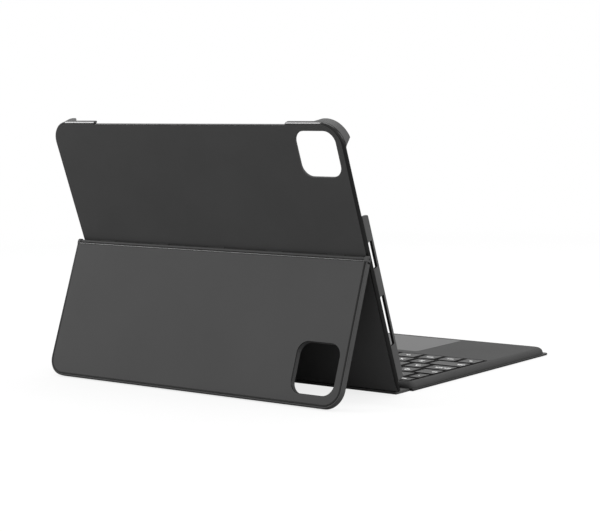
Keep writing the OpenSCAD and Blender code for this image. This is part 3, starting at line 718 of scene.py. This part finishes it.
def add_lower_wall(mesh):
    """The wall along the tray's lower edge, with its two round corners."""
    buried = PLATE_TOP - 0.1
    outer = 0.35
    pairs = [(outer, buried)] + wall_points(outer, TRAY_RIM, 0, 1.0)
    pairs[-1] = (WALL, buried)
    right = []
    steps = 8
    for k in range(steps + 1):
        turn = math.radians(-90 * (1 - k / steps))
        x, y, nx, ny, *_ = station(HALF_W - FOOT_R, TRAY_LOW + FOOT_R, FOOT_R, turn, None, 0)
        right.append(column(x, y, nx, ny, pairs))
    left = [[(-x, y, z) for x, y, z in points] for points in reversed(right)]
    solid(mesh, left + right, [2] * len(left + right))


def slot_cutter(y, length):
    """Cutter through both side walls, flared outward on the side towards the rim. Its black goes onto the
    slots' walls as painted shade.
    """
    reach = 2.0
    half = length / 2
    inside = HALF_W - WALL
    outside = HALF_W + reach
    flare = SLOT_FLARE * (WALL + reach) / WALL
    low = SLOT_Z - SLOT_W / 2
    rings = []
    for x, wider in ((-outside, flare), (-inside, 0.0), (inside, 0.0), (outside, flare)):
        outline = rounded_rect(y - half, y + half, low, SLOT_Z + SLOT_W / 2 + wider, SLOT_R, SLOT_R)
        rings.append([(x, along, z) for along, z in outline])
    mesh = bmesh.new()
    solid(mesh, rings)
    return finish_mesh("slot_cutter", mesh, [BLACK_NYLON_AND_PAINTED_SHADE], TRAY_FRAME)


# ---- Stand ----

STAND_RECT = (-STAND_HALF_W, STAND_HALF_W, STAND_TOP, STAND_FOOT, 0.1, STAND_FOOT_R)
SEAM = 0.4
HOLE_GROOVE = 0.6


def stand_body():
    """The stand's core with its rounded rim, its recesses and its two ears."""
    mesh = bmesh.new()
    rim_r = 0.6
    skin_low = STAND_HALF_T - SKIN_T
    lining_high = LINING_T - STAND_HALF_T
    profile = [(RIM, lining_high), (RIM, -STAND_HALF_T)]
    profile += round_edge(rim_r, rim_r - STAND_HALF_T, rim_r, -90)
    profile += round_edge(rim_r, STAND_HALF_T - rim_r, rim_r, 0)
    profile += [(RIM - 0.08, STAND_HALF_T), (RIM, STAND_HALF_T - 0.08), (RIM, skin_low)]
    open_top = STAND_TOP + RIM + 0.05
    rings = []
    for ring in rect_rings(STAND_RECT, profile, 12):
        rings.append([(x, y, min(z, skin_low) if y < open_top else z) for x, y, z in ring])
    outside = loft(mesh, rings)
    hole_r = 0.3
    pairs = [(HOLE_GROOVE, skin_low), (HOLE_GROOVE, skin_low - 0.15), (0.0, skin_low - 0.3)]
    pairs += round_edge(hole_r, hole_r - STAND_HALF_T, hole_r, -90)[::-1]
    pairs += [(HOLE_GROOVE, -STAND_HALF_T), (HOLE_GROOVE, lining_high)]
    hole = loft(mesh, rect_rings(lens_rect(STAND_LENS_Y, STAND_LENS), widened(pairs), 12))
    close(mesh, outside[-1], hole[0])
    close(mesh, outside[0], hole[-1])
    for side in (-1, 1):
        add_ear(mesh, side)
    piece = finish_mesh("stand_body", mesh, [SHEET_FILM], STAND_FRAME)
    weigh_normals(piece)
    add_piece(piece, "stand", "soft_touch_cover", "stand_frame")


def add_ear(mesh, side):
    """Round ear about the hinge axis, drawn out into the stand's side."""
    foot = STAND_TOP + 1.6
    panel_low = STAND_HALF_T - SKIN_T - 0.05
    outline = arc(0, 0, STAND_HALF_T, 90, 180, 14)
    outline += [(foot, -STAND_HALF_T), (foot, panel_low)]
    outline += [(STAND_TOP + 0.05, panel_low), (STAND_TOP + 0.05, STAND_HALF_T)]
    soft = 0.3
    narrow = 0.86
    far = STAND_HALF_W
    near = STAND_HALF_W - EAR_W
    rings = []
    for x, share in ((near, narrow), (near + soft, 1.0), (far - soft, 1.0), (far, narrow)):
        rings.append([(side * x, y * share, z * share) for y, z in outline])
    solid(mesh, rings)


def stand_panel():
    """Outer panel of the stand, set in from the rim by a fine seam."""
    mesh = bmesh.new()
    low = STAND_HALF_T - SKIN_T
    gap = RIM + SEAM
    side = STAND_HALF_W - gap
    rect = (-side, side, PANEL_TOP, STAND_FOOT - gap, 0.8, STAND_FOOT_R - gap)
    bevel = 0.85
    tilt = math.radians(13)
    step_down = bevel * math.sin(tilt)
    pairs = [(0.0, low), (0.0, STAND_HALF_T - step_down - 0.02)]
    pairs += [(0.02, STAND_HALF_T - step_down), (bevel * math.cos(tilt), STAND_HALF_T)]
    # the panel's edge is near-black: painted shade for the dark seam round it
    outside = loft(mesh, rect_rings(rect, pairs, 12), [1] * len(pairs))
    hole_r = 0.3
    pairs = [(0.15, low), (0.0, low + 0.15)] + round_edge(hole_r, STAND_HALF_T - hole_r, hole_r, 0)
    rings = rect_rings(lens_rect(STAND_LENS_Y, STAND_LENS), widened(pairs), 12)
    # the hole's wall is near-black too: painted shade for the dark line round the opening
    hole = loft(mesh, rings, [1] * len(rings))
    close(mesh, outside[-1], hole[-1])
    close(mesh, outside[0], hole[0])
    sharp = math.radians(20)
    piece = finish_mesh("stand_panel", mesh, [PANEL_FILM, SHEET_EDGE_PAINTED_SHADE], STAND_FRAME, sharp)
    weigh_normals(piece)
    add_piece(piece, "stand", "soft_touch_cover", "stand_skin")


# ---- Keyboard ----


def base_sheet():
    """Soft sheet under the keyboard, its edge proud of the deck."""
    mesh = bmesh.new()
    rect = (-HALF_W, HALF_W, KEYBOARD_FRONT, COVER_BACK, 2.0, 0.6)
    r = 0.55
    under_r = 1.1
    pairs = round_edge(under_r, under_r, under_r, -90) + round_edge(r, SHEET_T - r, r, 0)
    # the sheet's whole edge is near-black: painted shade that darkens its proud rim
    solid(mesh, rect_rings(rect, pairs), [1] * len(pairs))
    piece = finish_mesh("base_sheet", mesh, [SHEET_FILM, SHEET_EDGE_PAINTED_SHADE])
    weigh_normals(piece)
    add_piece(piece, "keyboard", "soft_touch_cover", "base_cover")


def keyboard_case():
    """Deck and bottom case as one shell: rounded top edge, key well, touch pad opening."""
    mesh = bmesh.new()
    rect = (-CASE_HALF, CASE_HALF, CASE_FRONT, CASE_BACK, DECK_R, 3.0)
    pairs = []
    for k in range(13):
        turn = math.radians(-20 + 110 * k / 12)
        high = DECK_EDGE_RISE if turn > 0 else DECK_EDGE_DROP
        inset = DECK_EDGE_IN * (1 - math.cos(turn)) - DECK_BULGE
        pairs.append((inset, DECK_TOP - DECK_EDGE_RISE + high * math.sin(turn)))
    pairs[0] = (pairs[0][0], SHEET_T - 0.1)
    outside = loft(mesh, rect_rings(rect, pairs, 10))
    inside = loft(mesh, rect_rings(rect, [(CASE_WALL, FLOOR), (CASE_WALL, DECK_LOW)], 10))
    x0, x1, y0, y1 = PAD
    pad_r = PAD_R + PAD_GAP
    around_pad = (x0 - PAD_GAP, x1 + PAD_GAP, y0 - PAD_GAP, y1 + PAD_GAP, pad_r, pad_r)
    holes = [opening(mesh, (*WELL, 2.0, 2.0), 0.25), opening(mesh, around_pad, 0.2)]
    close(mesh, outside[-1], *[hole[0] for hole in holes])
    close(mesh, inside[-1], *[hole[-1] for hole in holes])
    close(mesh, outside[0])
    close(mesh, inside[0])
    piece = finish_mesh("keyboard_case", mesh, [DECK])
    for cutter in (port_cutter, switch_cutter, light_cutter):
        cut(piece, cutter())
    weigh_normals(piece)
    add_piece(piece, "keyboard", "deck_plastic", "deck", "bottom_case")


def opening(mesh, rect, r):
    """Hole through the deck, its upper edge rounded by r."""
    pairs = round_edge(r, DECK_TOP - r, r, 0, 3)[::-1] + [(0.0, DECK_LOW)]
    return loft(mesh, rect_rings(rect, widened(pairs), 6))


def side_cutter(name, y0, y1, z0, z1, r, depth):
    """Rounded opening through the keyboard's right side."""
    outline = rounded_rect(y0, y1, z0, z1, r, r)
    turned = Matrix(((0, 0, 1, 0), (1, 0, 0, 0), (0, 1, 0, 0), (0, 0, 0, 1)))
    return extrude_outline(name, outline, CASE_HALF - depth, CASE_HALF + 2, FLAT @ turned)


def port_cutter():
    """Mouth of the charging port."""
    low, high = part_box("charge_port")
    y0, y1 = low.y / MM - 0.02, high.y / MM + 0.02
    z0, z1 = low.z / MM, high.z / MM
    return side_cutter("port_cutter", y0, y1, z0 + 0.01, z1, (z1 - z0) / 2 - 0.02, 3.0)


def switch_cutter():
    """Slot that the power switch slides in."""
    low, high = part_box("power_switch")
    stroke = JOINTS["power_switch_slide"]["range_m"][1] / MM
    y0, y1 = low.y / MM + 0.5, high.y / MM + stroke - 0.5
    z0, z1 = low.z / MM - 0.3, high.z / MM + 0.3
    return side_cutter("switch_cutter", y0, y1, z0, z1, 0.4, CASE_WALL + 0.5)


def light_cutter():
    """Hole for the status light."""
    low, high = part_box("status_light")
    x = (low.x + high.x) / 2 / MM
    y = (low.y + high.y) / 2 / MM
    r = (high.x - low.x) / 2 / MM + 0.05
    outline = arc(x, y, r, 0, 360, 24)[:-1]
    return extrude_outline("light_cutter", outline, DECK_LOW - 0.5, DECK_TOP + 0.5)


def touch_pad():
    """Touch pad plate with a fine bevel round its top."""
    mesh = bmesh.new()
    r = 0.25
    pairs = [(0.1, PAD_LOW), (0.0, PAD_LOW + 0.1)] + round_edge(r, DECK_TOP - r, r, 0, 3)
    solid(mesh, rect_rings((*PAD, PAD_R, PAD_R), pairs))
    piece = finish_mesh("touch_pad_plate", mesh, [TOUCH_PAD])
    weigh_normals(piece)
    add_piece(piece, "touch_pad_plate", "touch_pad_surface", "touch_pad")


def power_switch():
    """Switch slider with five grip ribs on its face."""
    low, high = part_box("power_switch")
    mesh = bmesh.new()
    x1 = high.x / MM
    x0 = CASE_HALF - CASE_WALL - 1.6
    y0, y1 = low.y / MM + 1.0, high.y / MM - 1.0
    z0, z1 = low.z / MM, high.z / MM
    add_box(mesh, (x0, x0 + 1.0), (low.y / MM, high.y / MM), (z0, z1), 0.12)
    add_box(mesh, (x0 + 0.9, x1 - 0.2), (y0, y1), (z0, z1), 0.15)
    ribs = 5
    for k in range(ribs):
        middle = y0 + (y1 - y0) * (k + 0.5) / ribs
        add_box(mesh, (x1 - 0.4, x1), (middle - 0.3, middle + 0.3), (z0 + 0.1, z1 - 0.1), 0.1)
    piece = finish_mesh("power_switch_slider", mesh, [KEYCAP])
    add_piece(piece, "switch_slider", "keycap_plastic", "power_switch")


def add_box(mesh, xs, ys, zs, soft):
    """Block with softened edges."""
    pairs = round_edge(soft, zs[0] + soft, soft, -90, 2) + round_edge(soft, zs[1] - soft, soft, 0, 2)
    solid(mesh, rect_rings((*xs, *ys, soft, soft), pairs, 3))


# ---- Keys ----

CAP_R = 1.4
CAP_DRAFT = 1.2
CAP_DISH = 0.12
# how far in the rings lie that give the dish its shape
DISH_INSETS = (1.2, 2.6, 4.2, 5.6)
CAP_SKIRT = 0.9
CAP_TOP = 0.8
# rows of a keycap's profile in black, painted shade for the dark gaps between keys: its hollow, its sides
# and the foot of its top edge
KEY_SHADE_ROWS = 5
LETTER = 5.4
WORD = 3.4
BOLD = 0.16
LEGEND_MARGIN = 1.8

# Legends of each node's keys, from the user's left to right
LEGENDS = {
    "function_keys": ["esc"] + [f"F{k}" for k in range(1, 13)] + ["del"],
    "key_backquote": ["`"],
    "number_keys": list("1234567890-="),
    "key_backspace": ["back"],
    "key_tab": ["tab"],
    "upper_letter_keys": list("QWERTYUIOP[]"),
    "key_backslash": ["\\"],
    "key_caps_lock": ["caps lock"],
    "home_letter_keys": list("ASDFGHJKL;'"),
    "key_enter": ["enter"],
    "key_left_shift": ["shift"],
    "lower_letter_keys": list("ZXCVBNM,./"),
    "key_right_shift": ["shift"],
    "modifier_keys": ["fn", "ctrl", "sym"],
    "key_left_alt": ["alt"],
    "key_space": [""],
    "key_right_alt": ["alt"],
    "key_right_control": ["ctrl"],
    "key_arrow_left": ["arrow 180"],
    "key_arrow_up": ["arrow 90"],
    "key_arrow_down": ["arrow 270"],
    "key_arrow_right": ["arrow 0"],
}
# Legends that sit towards one side of their key
AT_LEFT = {"key_tab", "key_caps_lock", "key_left_shift"}
AT_RIGHT = {"key_backspace", "key_enter", "key_right_shift"}


@functools.cache
def letter_shape(text, size):
    """Flat (points, faces) of a legend, centred on the origin, in mm."""
    curve = bpy.data.curves.new("legend", "FONT")
    curve.body = text
    curve.size = size
    curve.offset = BOLD
    curve.align_x = "CENTER"
    curve.align_y = "CENTER"
    curve.resolution_u = 3
    holder = add_object("legend", curve)
    graph = bpy.context.evaluated_depsgraph_get()
    flat = holder.evaluated_get(graph).to_mesh()
    points = [(v.co.x, v.co.y) for v in flat.vertices]
    faces = [tuple(p.vertices) for p in flat.polygons]
    holder.evaluated_get(graph).to_mesh_clear()
    bpy.data.objects.remove(holder)
    bpy.data.curves.remove(curve)
    xs, ys = zip(*points)
    x = (min(xs) + max(xs)) / 2
    y = (min(ys) + max(ys)) / 2
    return [(px - x, py - y) for px, py in points], faces


def arrow_shape(turn_deg):
    """Small triangle that points to turn_deg, anticlockwise from the right."""
    return arc(0, 0, 1.4, turn_deg, 360, 3)[:-1], [(0, 1, 2)]


def islands(node):
    """(low, high) corners in mm of each separate solid of a CAD node, from left to right."""
    mesh = bmesh.new()
    mesh.from_mesh(frame["nodes"][node].data)
    bmesh.ops.remove_doubles(mesh, verts=mesh.verts, dist=0.00001)
    boxes = []
    seen = set()
    for start in mesh.verts:
        if start in seen:
            continue
        seen.add(start)
        group = [start]
        for vert in group:
            for edge in vert.link_edges:
                other = edge.other_vert(vert)
                if other not in seen:
                    seen.add(other)
                    group.append(other)
        corners = [v.co / MM for v in group]
        low = Vector([min(c[k] for c in corners) for k in range(3)])
        high = Vector([max(c[k] for c in corners) for k in range(3)])
        boxes.append((low, high))
    mesh.free()
    return sorted(boxes, key=lambda pair: pair[0].x)


def cap_top(low, high, x, y):
    """Height of a keycap's hollowed top at (x, y) from its middle."""
    along = min(1.0, abs(x) / ((high.x - low.x) / 2))
    across = min(1.0, abs(y) / ((high.y - low.y) / 2))
    return high.z - CAP_DISH * (1 - along**4) * (1 - across**2)


def add_keycap(mesh, low, high):
    """Keycap with drafted sides, a rounded top edge, a shallow dish and a hollow below."""
    rect = (low.x, high.x, low.y, high.y, CAP_R, CAP_R)
    middle = (low + high) / 2
    top = high.z
    r = 0.25
    pairs = [(CAP_SKIRT, top - CAP_TOP), (CAP_SKIRT, low.z), (0.0, low.z), (0.0, low.z + 0.3)]
    pairs += round_edge(CAP_DRAFT + r, top - r, r, 0, 3)
    rings = rect_rings(rect, pairs, 4)
    for inset in DISH_INSETS:
        if inset < (high.y - low.y) / 2 - 0.6:
            flat = inset_rect(rect, inset, 4)
            rings.append([(x, y, cap_top(low, high, x - middle.x, y - middle.y)) for x, y in flat])
    # the hollow, the sides and the foot of the top edge are black: painted shade between the keys
    solid(mesh, rings, [2] * KEY_SHADE_ROWS)


def add_legend(mesh, shape, low, high, shift):
    """Legend as a thin closed layer that follows the keycap's dish."""
    points, faces = shape
    middle = (low + high) / 2
    layers = []
    for lift in (-0.03, 0.05):
        layer = []
        for px, py in points:
            x = px + shift
            z = cap_top(low, high, x, py) + lift
            layer.append(mesh.verts.new((middle.x + x, middle.y + py, z)))
        layers.append(layer)
    under, over = layers
    # an edge may come up twice, so that a list won't do
    edges = {}
    for face in faces:
        mesh.faces.new([over[k] for k in face]).material_index = 1
        mesh.faces.new([under[k] for k in reversed(face)]).material_index = 1
        edges.update(dict.fromkeys(zip(face, face[1:] + face[:1])))
    for a, b in edges:
        if (b, a) not in edges:
            mesh.faces.new((over[a], under[a], under[b], over[b])).material_index = 1


def legend_of(text):
    """Flat (points, faces) of a key's legend, or None."""
    if not text:
        return None
    if text.startswith("arrow "):
        return arrow_shape(float(text.split()[1]))
    return letter_shape(text, LETTER if len(text) == 1 else WORD)


def key_piece(node):
    """All keycaps of one node, with their legends."""
    mesh = bmesh.new()
    boxes = islands(node)
    for low, high in boxes:
        add_keycap(mesh, low, high)
    bmesh.ops.recalc_face_normals(mesh, faces=mesh.faces)
    for (low, high), text in zip(boxes, LEGENDS[node]):
        shape = legend_of(text)
        if shape is None:
            continue
        reach = max(abs(x) for x, _ in shape[0])
        room = (high.x - low.x) / 2 - reach - LEGEND_MARGIN
        side = (node in AT_RIGHT) - (node in AT_LEFT)
        add_legend(mesh, shape, low, high, side * room)
    piece = finish_mesh(f"{node}_caps", mesh, [KEYCAP, INK, BLACK_NYLON_AND_PAINTED_SHADE])
    weigh_normals(piece)
    add_piece(piece, f"{node}_cap", "keycap_plastic", node)


# ---- Under the keys ----

DOME_SHEET_T = 0.1
# (share of the foot's radius, share of the height) up a dome's outside
DOME_PROFILE = ((1.0, 0.0), (1.0, 0.08), (0.9, 0.2), (0.74, 0.5), (0.62, 0.68), (0.6, 1.0))
DOME_R = 2.1
LINK_BAR = 0.5
LINK_T = 0.3


def add_dome(mesh, x, y, r, low, high):
    """Rubber dome: a wide foot, a thin slanting wall and a straight top."""
    rings = []
    for wide, up in DOME_PROFILE:
        outline = arc(x, y, r * wide, 0, 360, 20)[:-1]
        rings.append([(px, py, low + (high - low) * up) for px, py in outline])
    solid(mesh, rings)


def add_bar(mesh, start, end, across):
    """Bar of a scissor link from start to end, its width along the across direction."""
    start, end, across = Vector(start), Vector(end), Vector(across)
    side = across.normalized() * LINK_BAR / 2
    thick = (end - start).cross(across).normalized() * LINK_T / 2
    rings = []
    for middle in (start, end):
        corners = (side + thick, thick - side, -side - thick, side - thick)
        rings.append([middle + corner for corner in corners])
    solid(mesh, rings)


def add_link(mesh, low, high, rises):
    """Open frame of four bars, which rises or falls towards the back."""
    x0, x1 = low.x + LINK_BAR / 2, high.x - LINK_BAR / 2
    y0, y1 = low.y + LINK_BAR / 2, high.y - LINK_BAR / 2
    z0, z1 = low.z + LINK_T, high.z - LINK_T
    if not rises:
        z0, z1 = z1, z0
    slope = Vector((0, y1 - y0, z1 - z0))
    for x in (x0, x1):
        add_bar(mesh, (x, low.y + LINK_T, z0), (x, high.y - LINK_T, z1), (1, 0, 0))
    for y, z in ((y0, z0), (y1, z1)):
        add_bar(mesh, (x0, y, z), (x1, y, z), slope)


def key_springs(node, links):
    """Scissor links and rubber domes under one node's keys, which fold flat as a real key is pressed; here
    they ride still on the keyboard.
    """
    dome_low, dome_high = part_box("rubber_domes")
    foot = dome_low.z / MM + DOME_SHEET_T
    top = dome_high.z / MM
    mesh = bmesh.new()
    for low, high in islands(node):
        middle = (low + high) / 2
        under = [pair for pair in links if is_under(pair, low, high)]
        under.sort(key=lambda pair: pair[1].x - pair[0].x)
        for rises, (link_low, link_high) in zip((False, True), under):
            add_link(mesh, link_low, link_high, rises)
        links_end = len(mesh.faces)
        room = min((pair[1].y - pair[0].y) / 2 for pair in under) - 2 * LINK_BAR
        add_dome(mesh, middle.x, middle.y, min(DOME_R, room), foot, top)
        mesh.faces.ensure_lookup_table()
        for k in range(links_end, len(mesh.faces)):
            mesh.faces[k].material_index = 1
    piece = finish_mesh(f"{node}_springs", mesh, [NATURAL_NYLON, SILICONE])
    add_piece(piece, "keyboard", "scissor_nylon", "scissor_links", "rubber_domes")
    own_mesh(piece)


def is_under(pair, low, high):
    """Whether the middle of a link's box is within a key's outline."""
    middle = (pair[0] + pair[1]) / 2
    return low.x < middle.x < high.x and low.y < middle.y < high.y


def dome_sheet():
    """Thin sheet that the domes stand on."""
    low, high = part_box("rubber_domes")
    rect = (low.x / MM, high.x / MM, low.y / MM, high.y / MM, 1.0, 1.0)
    foot = low.z / MM
    mesh = bmesh.new()
    solid(mesh, rect_rings(rect, [(0.0, foot), (0.0, foot + DOME_SHEET_T)]))
    piece = finish_mesh("dome_sheet", mesh, [SILICONE])
    add_piece(piece, "keyboard", "dome_rubber", "rubber_domes")


# ---- Folds ----


def strip(name, section):
    """A closed section (y, z), drawn out to the spine's width, with its ends drawn in."""
    soft = 0.3
    middle_y = sum(y for y, _ in section) / len(section)
    middle_z = sum(z for _, z in section) / len(section)
    end = []
    for y, z in section:
        pull = soft / math.hypot(y - middle_y, z - middle_z) * 0.5
        end.append((y, z + (middle_z - z) * pull))
    rings = []
    inner = SPINE_HALF - soft
    for x, outline in ((-SPINE_HALF, end), (-inner, section), (inner, section), (SPINE_HALF, end)):
        rings.append([(x, y, z) for y, z in outline])
    mesh = bmesh.new()
    solid(mesh, rings)
    return finish_mesh(name, mesh, [SHEET_FILM])


SPINE_FROM = FRONT_FOLD_Y + FOLD_REACH
SPINE_TO = REAR_FOLD_Y - FOLD_REACH
SCORE = 0.9


def spine_sheet():
    """Stiffened strip between the two folds."""
    section = [(SPINE_FROM, 0), (SPINE_TO, 0), (SPINE_TO, SHEET_T), (SPINE_FROM, SHEET_T)]
    piece = strip("spine_sheet", section)
    add_piece(piece, "spine", "soft_touch_cover", "spine_cover", "spine_board", "spine_lining")


def front_fold():
    """Sheet across the front fold, scored on its inner side so that it closes upward."""
    low = FRONT_FOLD_Y - FOLD_REACH
    high = FRONT_FOLD_Y + FOLD_REACH
    outer = [(low + 2 * FOLD_REACH * k / 10, 0.0) for k in range(11)]
    inner = []
    for k in range(11):
        y = high - 2 * FOLD_REACH * k / 10
        share = 1 - ((y - FRONT_FOLD_Y) / FOLD_REACH) ** 2
        inner.append((y, SHEET_T - SCORE * share))
    piece = strip("front_fold_sheet", outer + inner)
    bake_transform(piece)


def rear_fold():
    """Sheet that turns up from the spine to the tray's back, round the rear fold."""
    turn_up = 90 - LEAN
    outer = [(REAR_FOLD_Y - FOLD_REACH, 0.0)]
    outer += arc(REAR_FOLD_Y, FOLD_R, FOLD_R, -90, turn_up, 12)
    full_turn = math.radians(turn_up)
    along = Vector((math.cos(full_turn), math.sin(full_turn)))
    side = Vector((along.y, -along.x))
    fold = Vector((REAR_FOLD_Y, FOLD_R))
    outer.append(tuple(fold + along * FOLD_REACH + side * FOLD_R))
    half_turn = math.radians(turn_up / 2 + 90)
    crease = fold + Vector((math.cos(half_turn), math.sin(half_turn))) * 0.25
    crease_run = 0.45
    inner = [
        tuple(fold + along * FOLD_REACH - side * FOLD_R),
        tuple(crease + along * crease_run),
        tuple(crease),
        (crease.x - crease_run, crease.y),
        (REAR_FOLD_Y - FOLD_REACH, SHEET_T),
    ]
    piece = strip("rear_fold_sheet", outer + inner)
    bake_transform(piece)


# ---- Camera, floor and lights ----


def camera():
    """Three-quarter view from behind, at the user's left, slightly above the table."""
    azimuth, elevation, roll = map(math.radians, (217.302, 5.992, -0.724))
    place = Vector((-0.736128, 1.013927, 0.200365))
    lens_per_sensor = 2.82175
    sensor = 36.0
    level = math.cos(elevation)
    back = Vector((math.sin(azimuth) * level, -math.cos(azimuth) * level, math.sin(elevation)))
    right = (-back).cross(Vector((0, 0, 1))).normalized()
    up = right.cross(-back)
    tilted_right = right * math.cos(roll) + up * math.sin(roll)
    tilted_up = up * math.cos(roll) - right * math.sin(roll)
    data = bpy.data.cameras.new("view_from_behind")
    data.sensor_width = sensor
    data.lens = lens_per_sensor * sensor
    data.clip_start = 0.01
    data.clip_end = 100.0
    made = add_object("view_from_behind", data)
    turned = Matrix((tilted_right, tilted_up, back)).transposed().to_4x4()
    made.matrix_world = Matrix.Translation(place) @ turned
    bpy.context.scene.camera = made


def ray_share(tree, *kinds):
    """1 for rays of the given kinds, 0 for the others."""
    rays = add_node(tree, "ShaderNodeLightPath")
    share = rays.outputs[kinds[0]]
    for kind in kinds[1:]:
        pair = {0: share, 1: rays.outputs[kind]}
        share = add_node(tree, "ShaderNodeMath", pair, operation="MAXIMUM")
    return share


# share of its light that the floor sends back up to the object
FLOOR_BOUNCE = 0.4
# how far its shadows fade to the eye
SHADOW_FADE = 0.8
# distances in metres between which the paper goes over to plain white
FLOOR_NEAR = 0.5
FLOOR_FAR = 1.2


def floor_material():
    """Matt white paper: it takes the shadow near the object, and is plain white further off."""
    material = bpy.data.materials.new("paper_calendered_white")
    tree = emptied(material)
    place = add_node(tree, "ShaderNodeTexCoord").outputs["Object"]
    fibres = add_node(tree, "ShaderNodeTexNoise", {"Vector": place, "Scale": per_size(60)})
    tone = add_node(tree, "ShaderNodeValToRGB", {"Fac": fibres})
    for stop, colour in zip(tone.color_ramp.elements, ("#f0f0f0", "#f4f4f4")):
        stop.color = linear(colour)
    eye = ray_share(tree, "Is Camera Ray", "Is Transmission Ray")
    eye_or_gloss = ray_share(tree, "Is Camera Ray", "Is Glossy Ray", "Is Transmission Ray")
    bounce = {"Value": eye, "To Min": FLOOR_BOUNCE, "To Max": 1.0}
    shade = add_node(tree, "ShaderNodeMapRange", bounce)
    lit = add_node(tree, "ShaderNodeVectorMath", {0: tone, "Scale": shade}, operation="SCALE")
    paper = add_node(tree, "ShaderNodeBsdfDiffuse", {"Color": lit})
    white = add_node(tree, "ShaderNodeEmission", {"Color": WHITE, "Strength": 1.0})
    away = add_node(tree, "ShaderNodeVectorMath", {0: place}, operation="LENGTH").outputs["Value"]
    fade = {"Value": away, "From Min": FLOOR_NEAR, "From Max": FLOOR_FAR}
    far = add_node(tree, "ShaderNodeMapRange", fade, interpolation_type="SMOOTHSTEP")
    faint = add_node(tree, "ShaderNodeMath", {0: eye, 1: SHADOW_FADE}, operation="MULTIPLY")
    distant = add_node(tree, "ShaderNodeMath", {0: far, 1: eye_or_gloss}, operation="MULTIPLY")
    shown = add_node(tree, "ShaderNodeMath", {0: faint, 1: distant}, operation="MAXIMUM")
    mixed = add_node(tree, "ShaderNodeMixShader", {0: shown, 1: paper, 2: white})
    add_node(tree, "ShaderNodeOutputMaterial", {"Surface": mixed})
    return material


def floor():
    """Large round sheet of paper under the object."""
    mesh = bmesh.new()
    below = -0.05
    rings = []
    for r in (0.0001, 200, 600, 2000, 8000, 30000):
        rings.append([(x, y, below) for x, y in arc(0, 0, r, 0, 360, 64)[:-1]])
    loft(mesh, rings)
    made = finish_mesh("floor", mesh, [floor_material()])


def world():
    """Even white surroundings: full white to the eye and in gloss, softer as light."""
    made = bpy.data.worlds.new("white_studio")
    bpy.context.scene.world = made
    tree = emptied(made)
    light = add_node(tree, "ShaderNodeBackground", {"Color": WHITE, "Strength": 0.84})
    white = add_node(tree, "ShaderNodeBackground", {"Color": WHITE, "Strength": 1.0})
    eye_or_gloss = ray_share(tree, "Is Camera Ray", "Is Glossy Ray", "Is Transmission Ray")
    mixed = add_node(tree, "ShaderNodeMixShader", {0: eye_or_gloss, 1: light, 2: white})
    add_node(tree, "ShaderNodeOutputWorld", {"Surface": mixed})


def lamp(name, place, aim, along, sides, watts):
    """Soft box that faces the aim point, its first side along the given direction."""
    data = bpy.data.lights.new(name, "AREA")
    data.shape = "RECTANGLE"
    data.size, data.size_y = sides
    data.energy = watts
    back = (Vector(place) - Vector(aim)).normalized()
    second = back.cross(Vector(along)).normalized()
    turned = Matrix((second.cross(back), second, back)).transposed().to_4x4()
    add_object(name, data).matrix_world = Matrix.Translation(place) @ turned


def lights():
    """A large box above and in front, one at the near side, and a narrow bright strip behind
    at the far side, which draws the gleam along the upper edges.
    """
    middle = (0.0, 0.15, 0.15)
    lamp("front_box", (0.1, -0.45, 1.4), middle, (1, 0, 0), (0.9, 0.9), 4.6)
    lamp("side_box", (-1.3, -0.1, 0.85), middle, (0, 1, 0), (0.8, 0.8), 7)
    lamp("edge_strip", (0.68, 0.575, 0.83), middle, (-0.71, 0.36, 0.606), (0.6, 0.13), 4.3)


# ---- Making ----


def main():
    """Dresses the CAD nodes and makes the pieces, the camera, the floor and the lights."""
    bpy.context.scene.view_settings.view_transform = "Standard"
    camera()
    dress_cad_nodes()
    tray_shell()
    stand_body()
    stand_panel()
    base_sheet()
    keyboard_case()
    touch_pad()
    power_switch()
    links = islands("scissor_links")
    for node in LEGENDS:
        key_piece(node)
        key_springs(node, links)
    dome_sheet()
    spine_sheet()
    front_fold()
    rear_fold()
    floor()
    world()
    lights()


main()
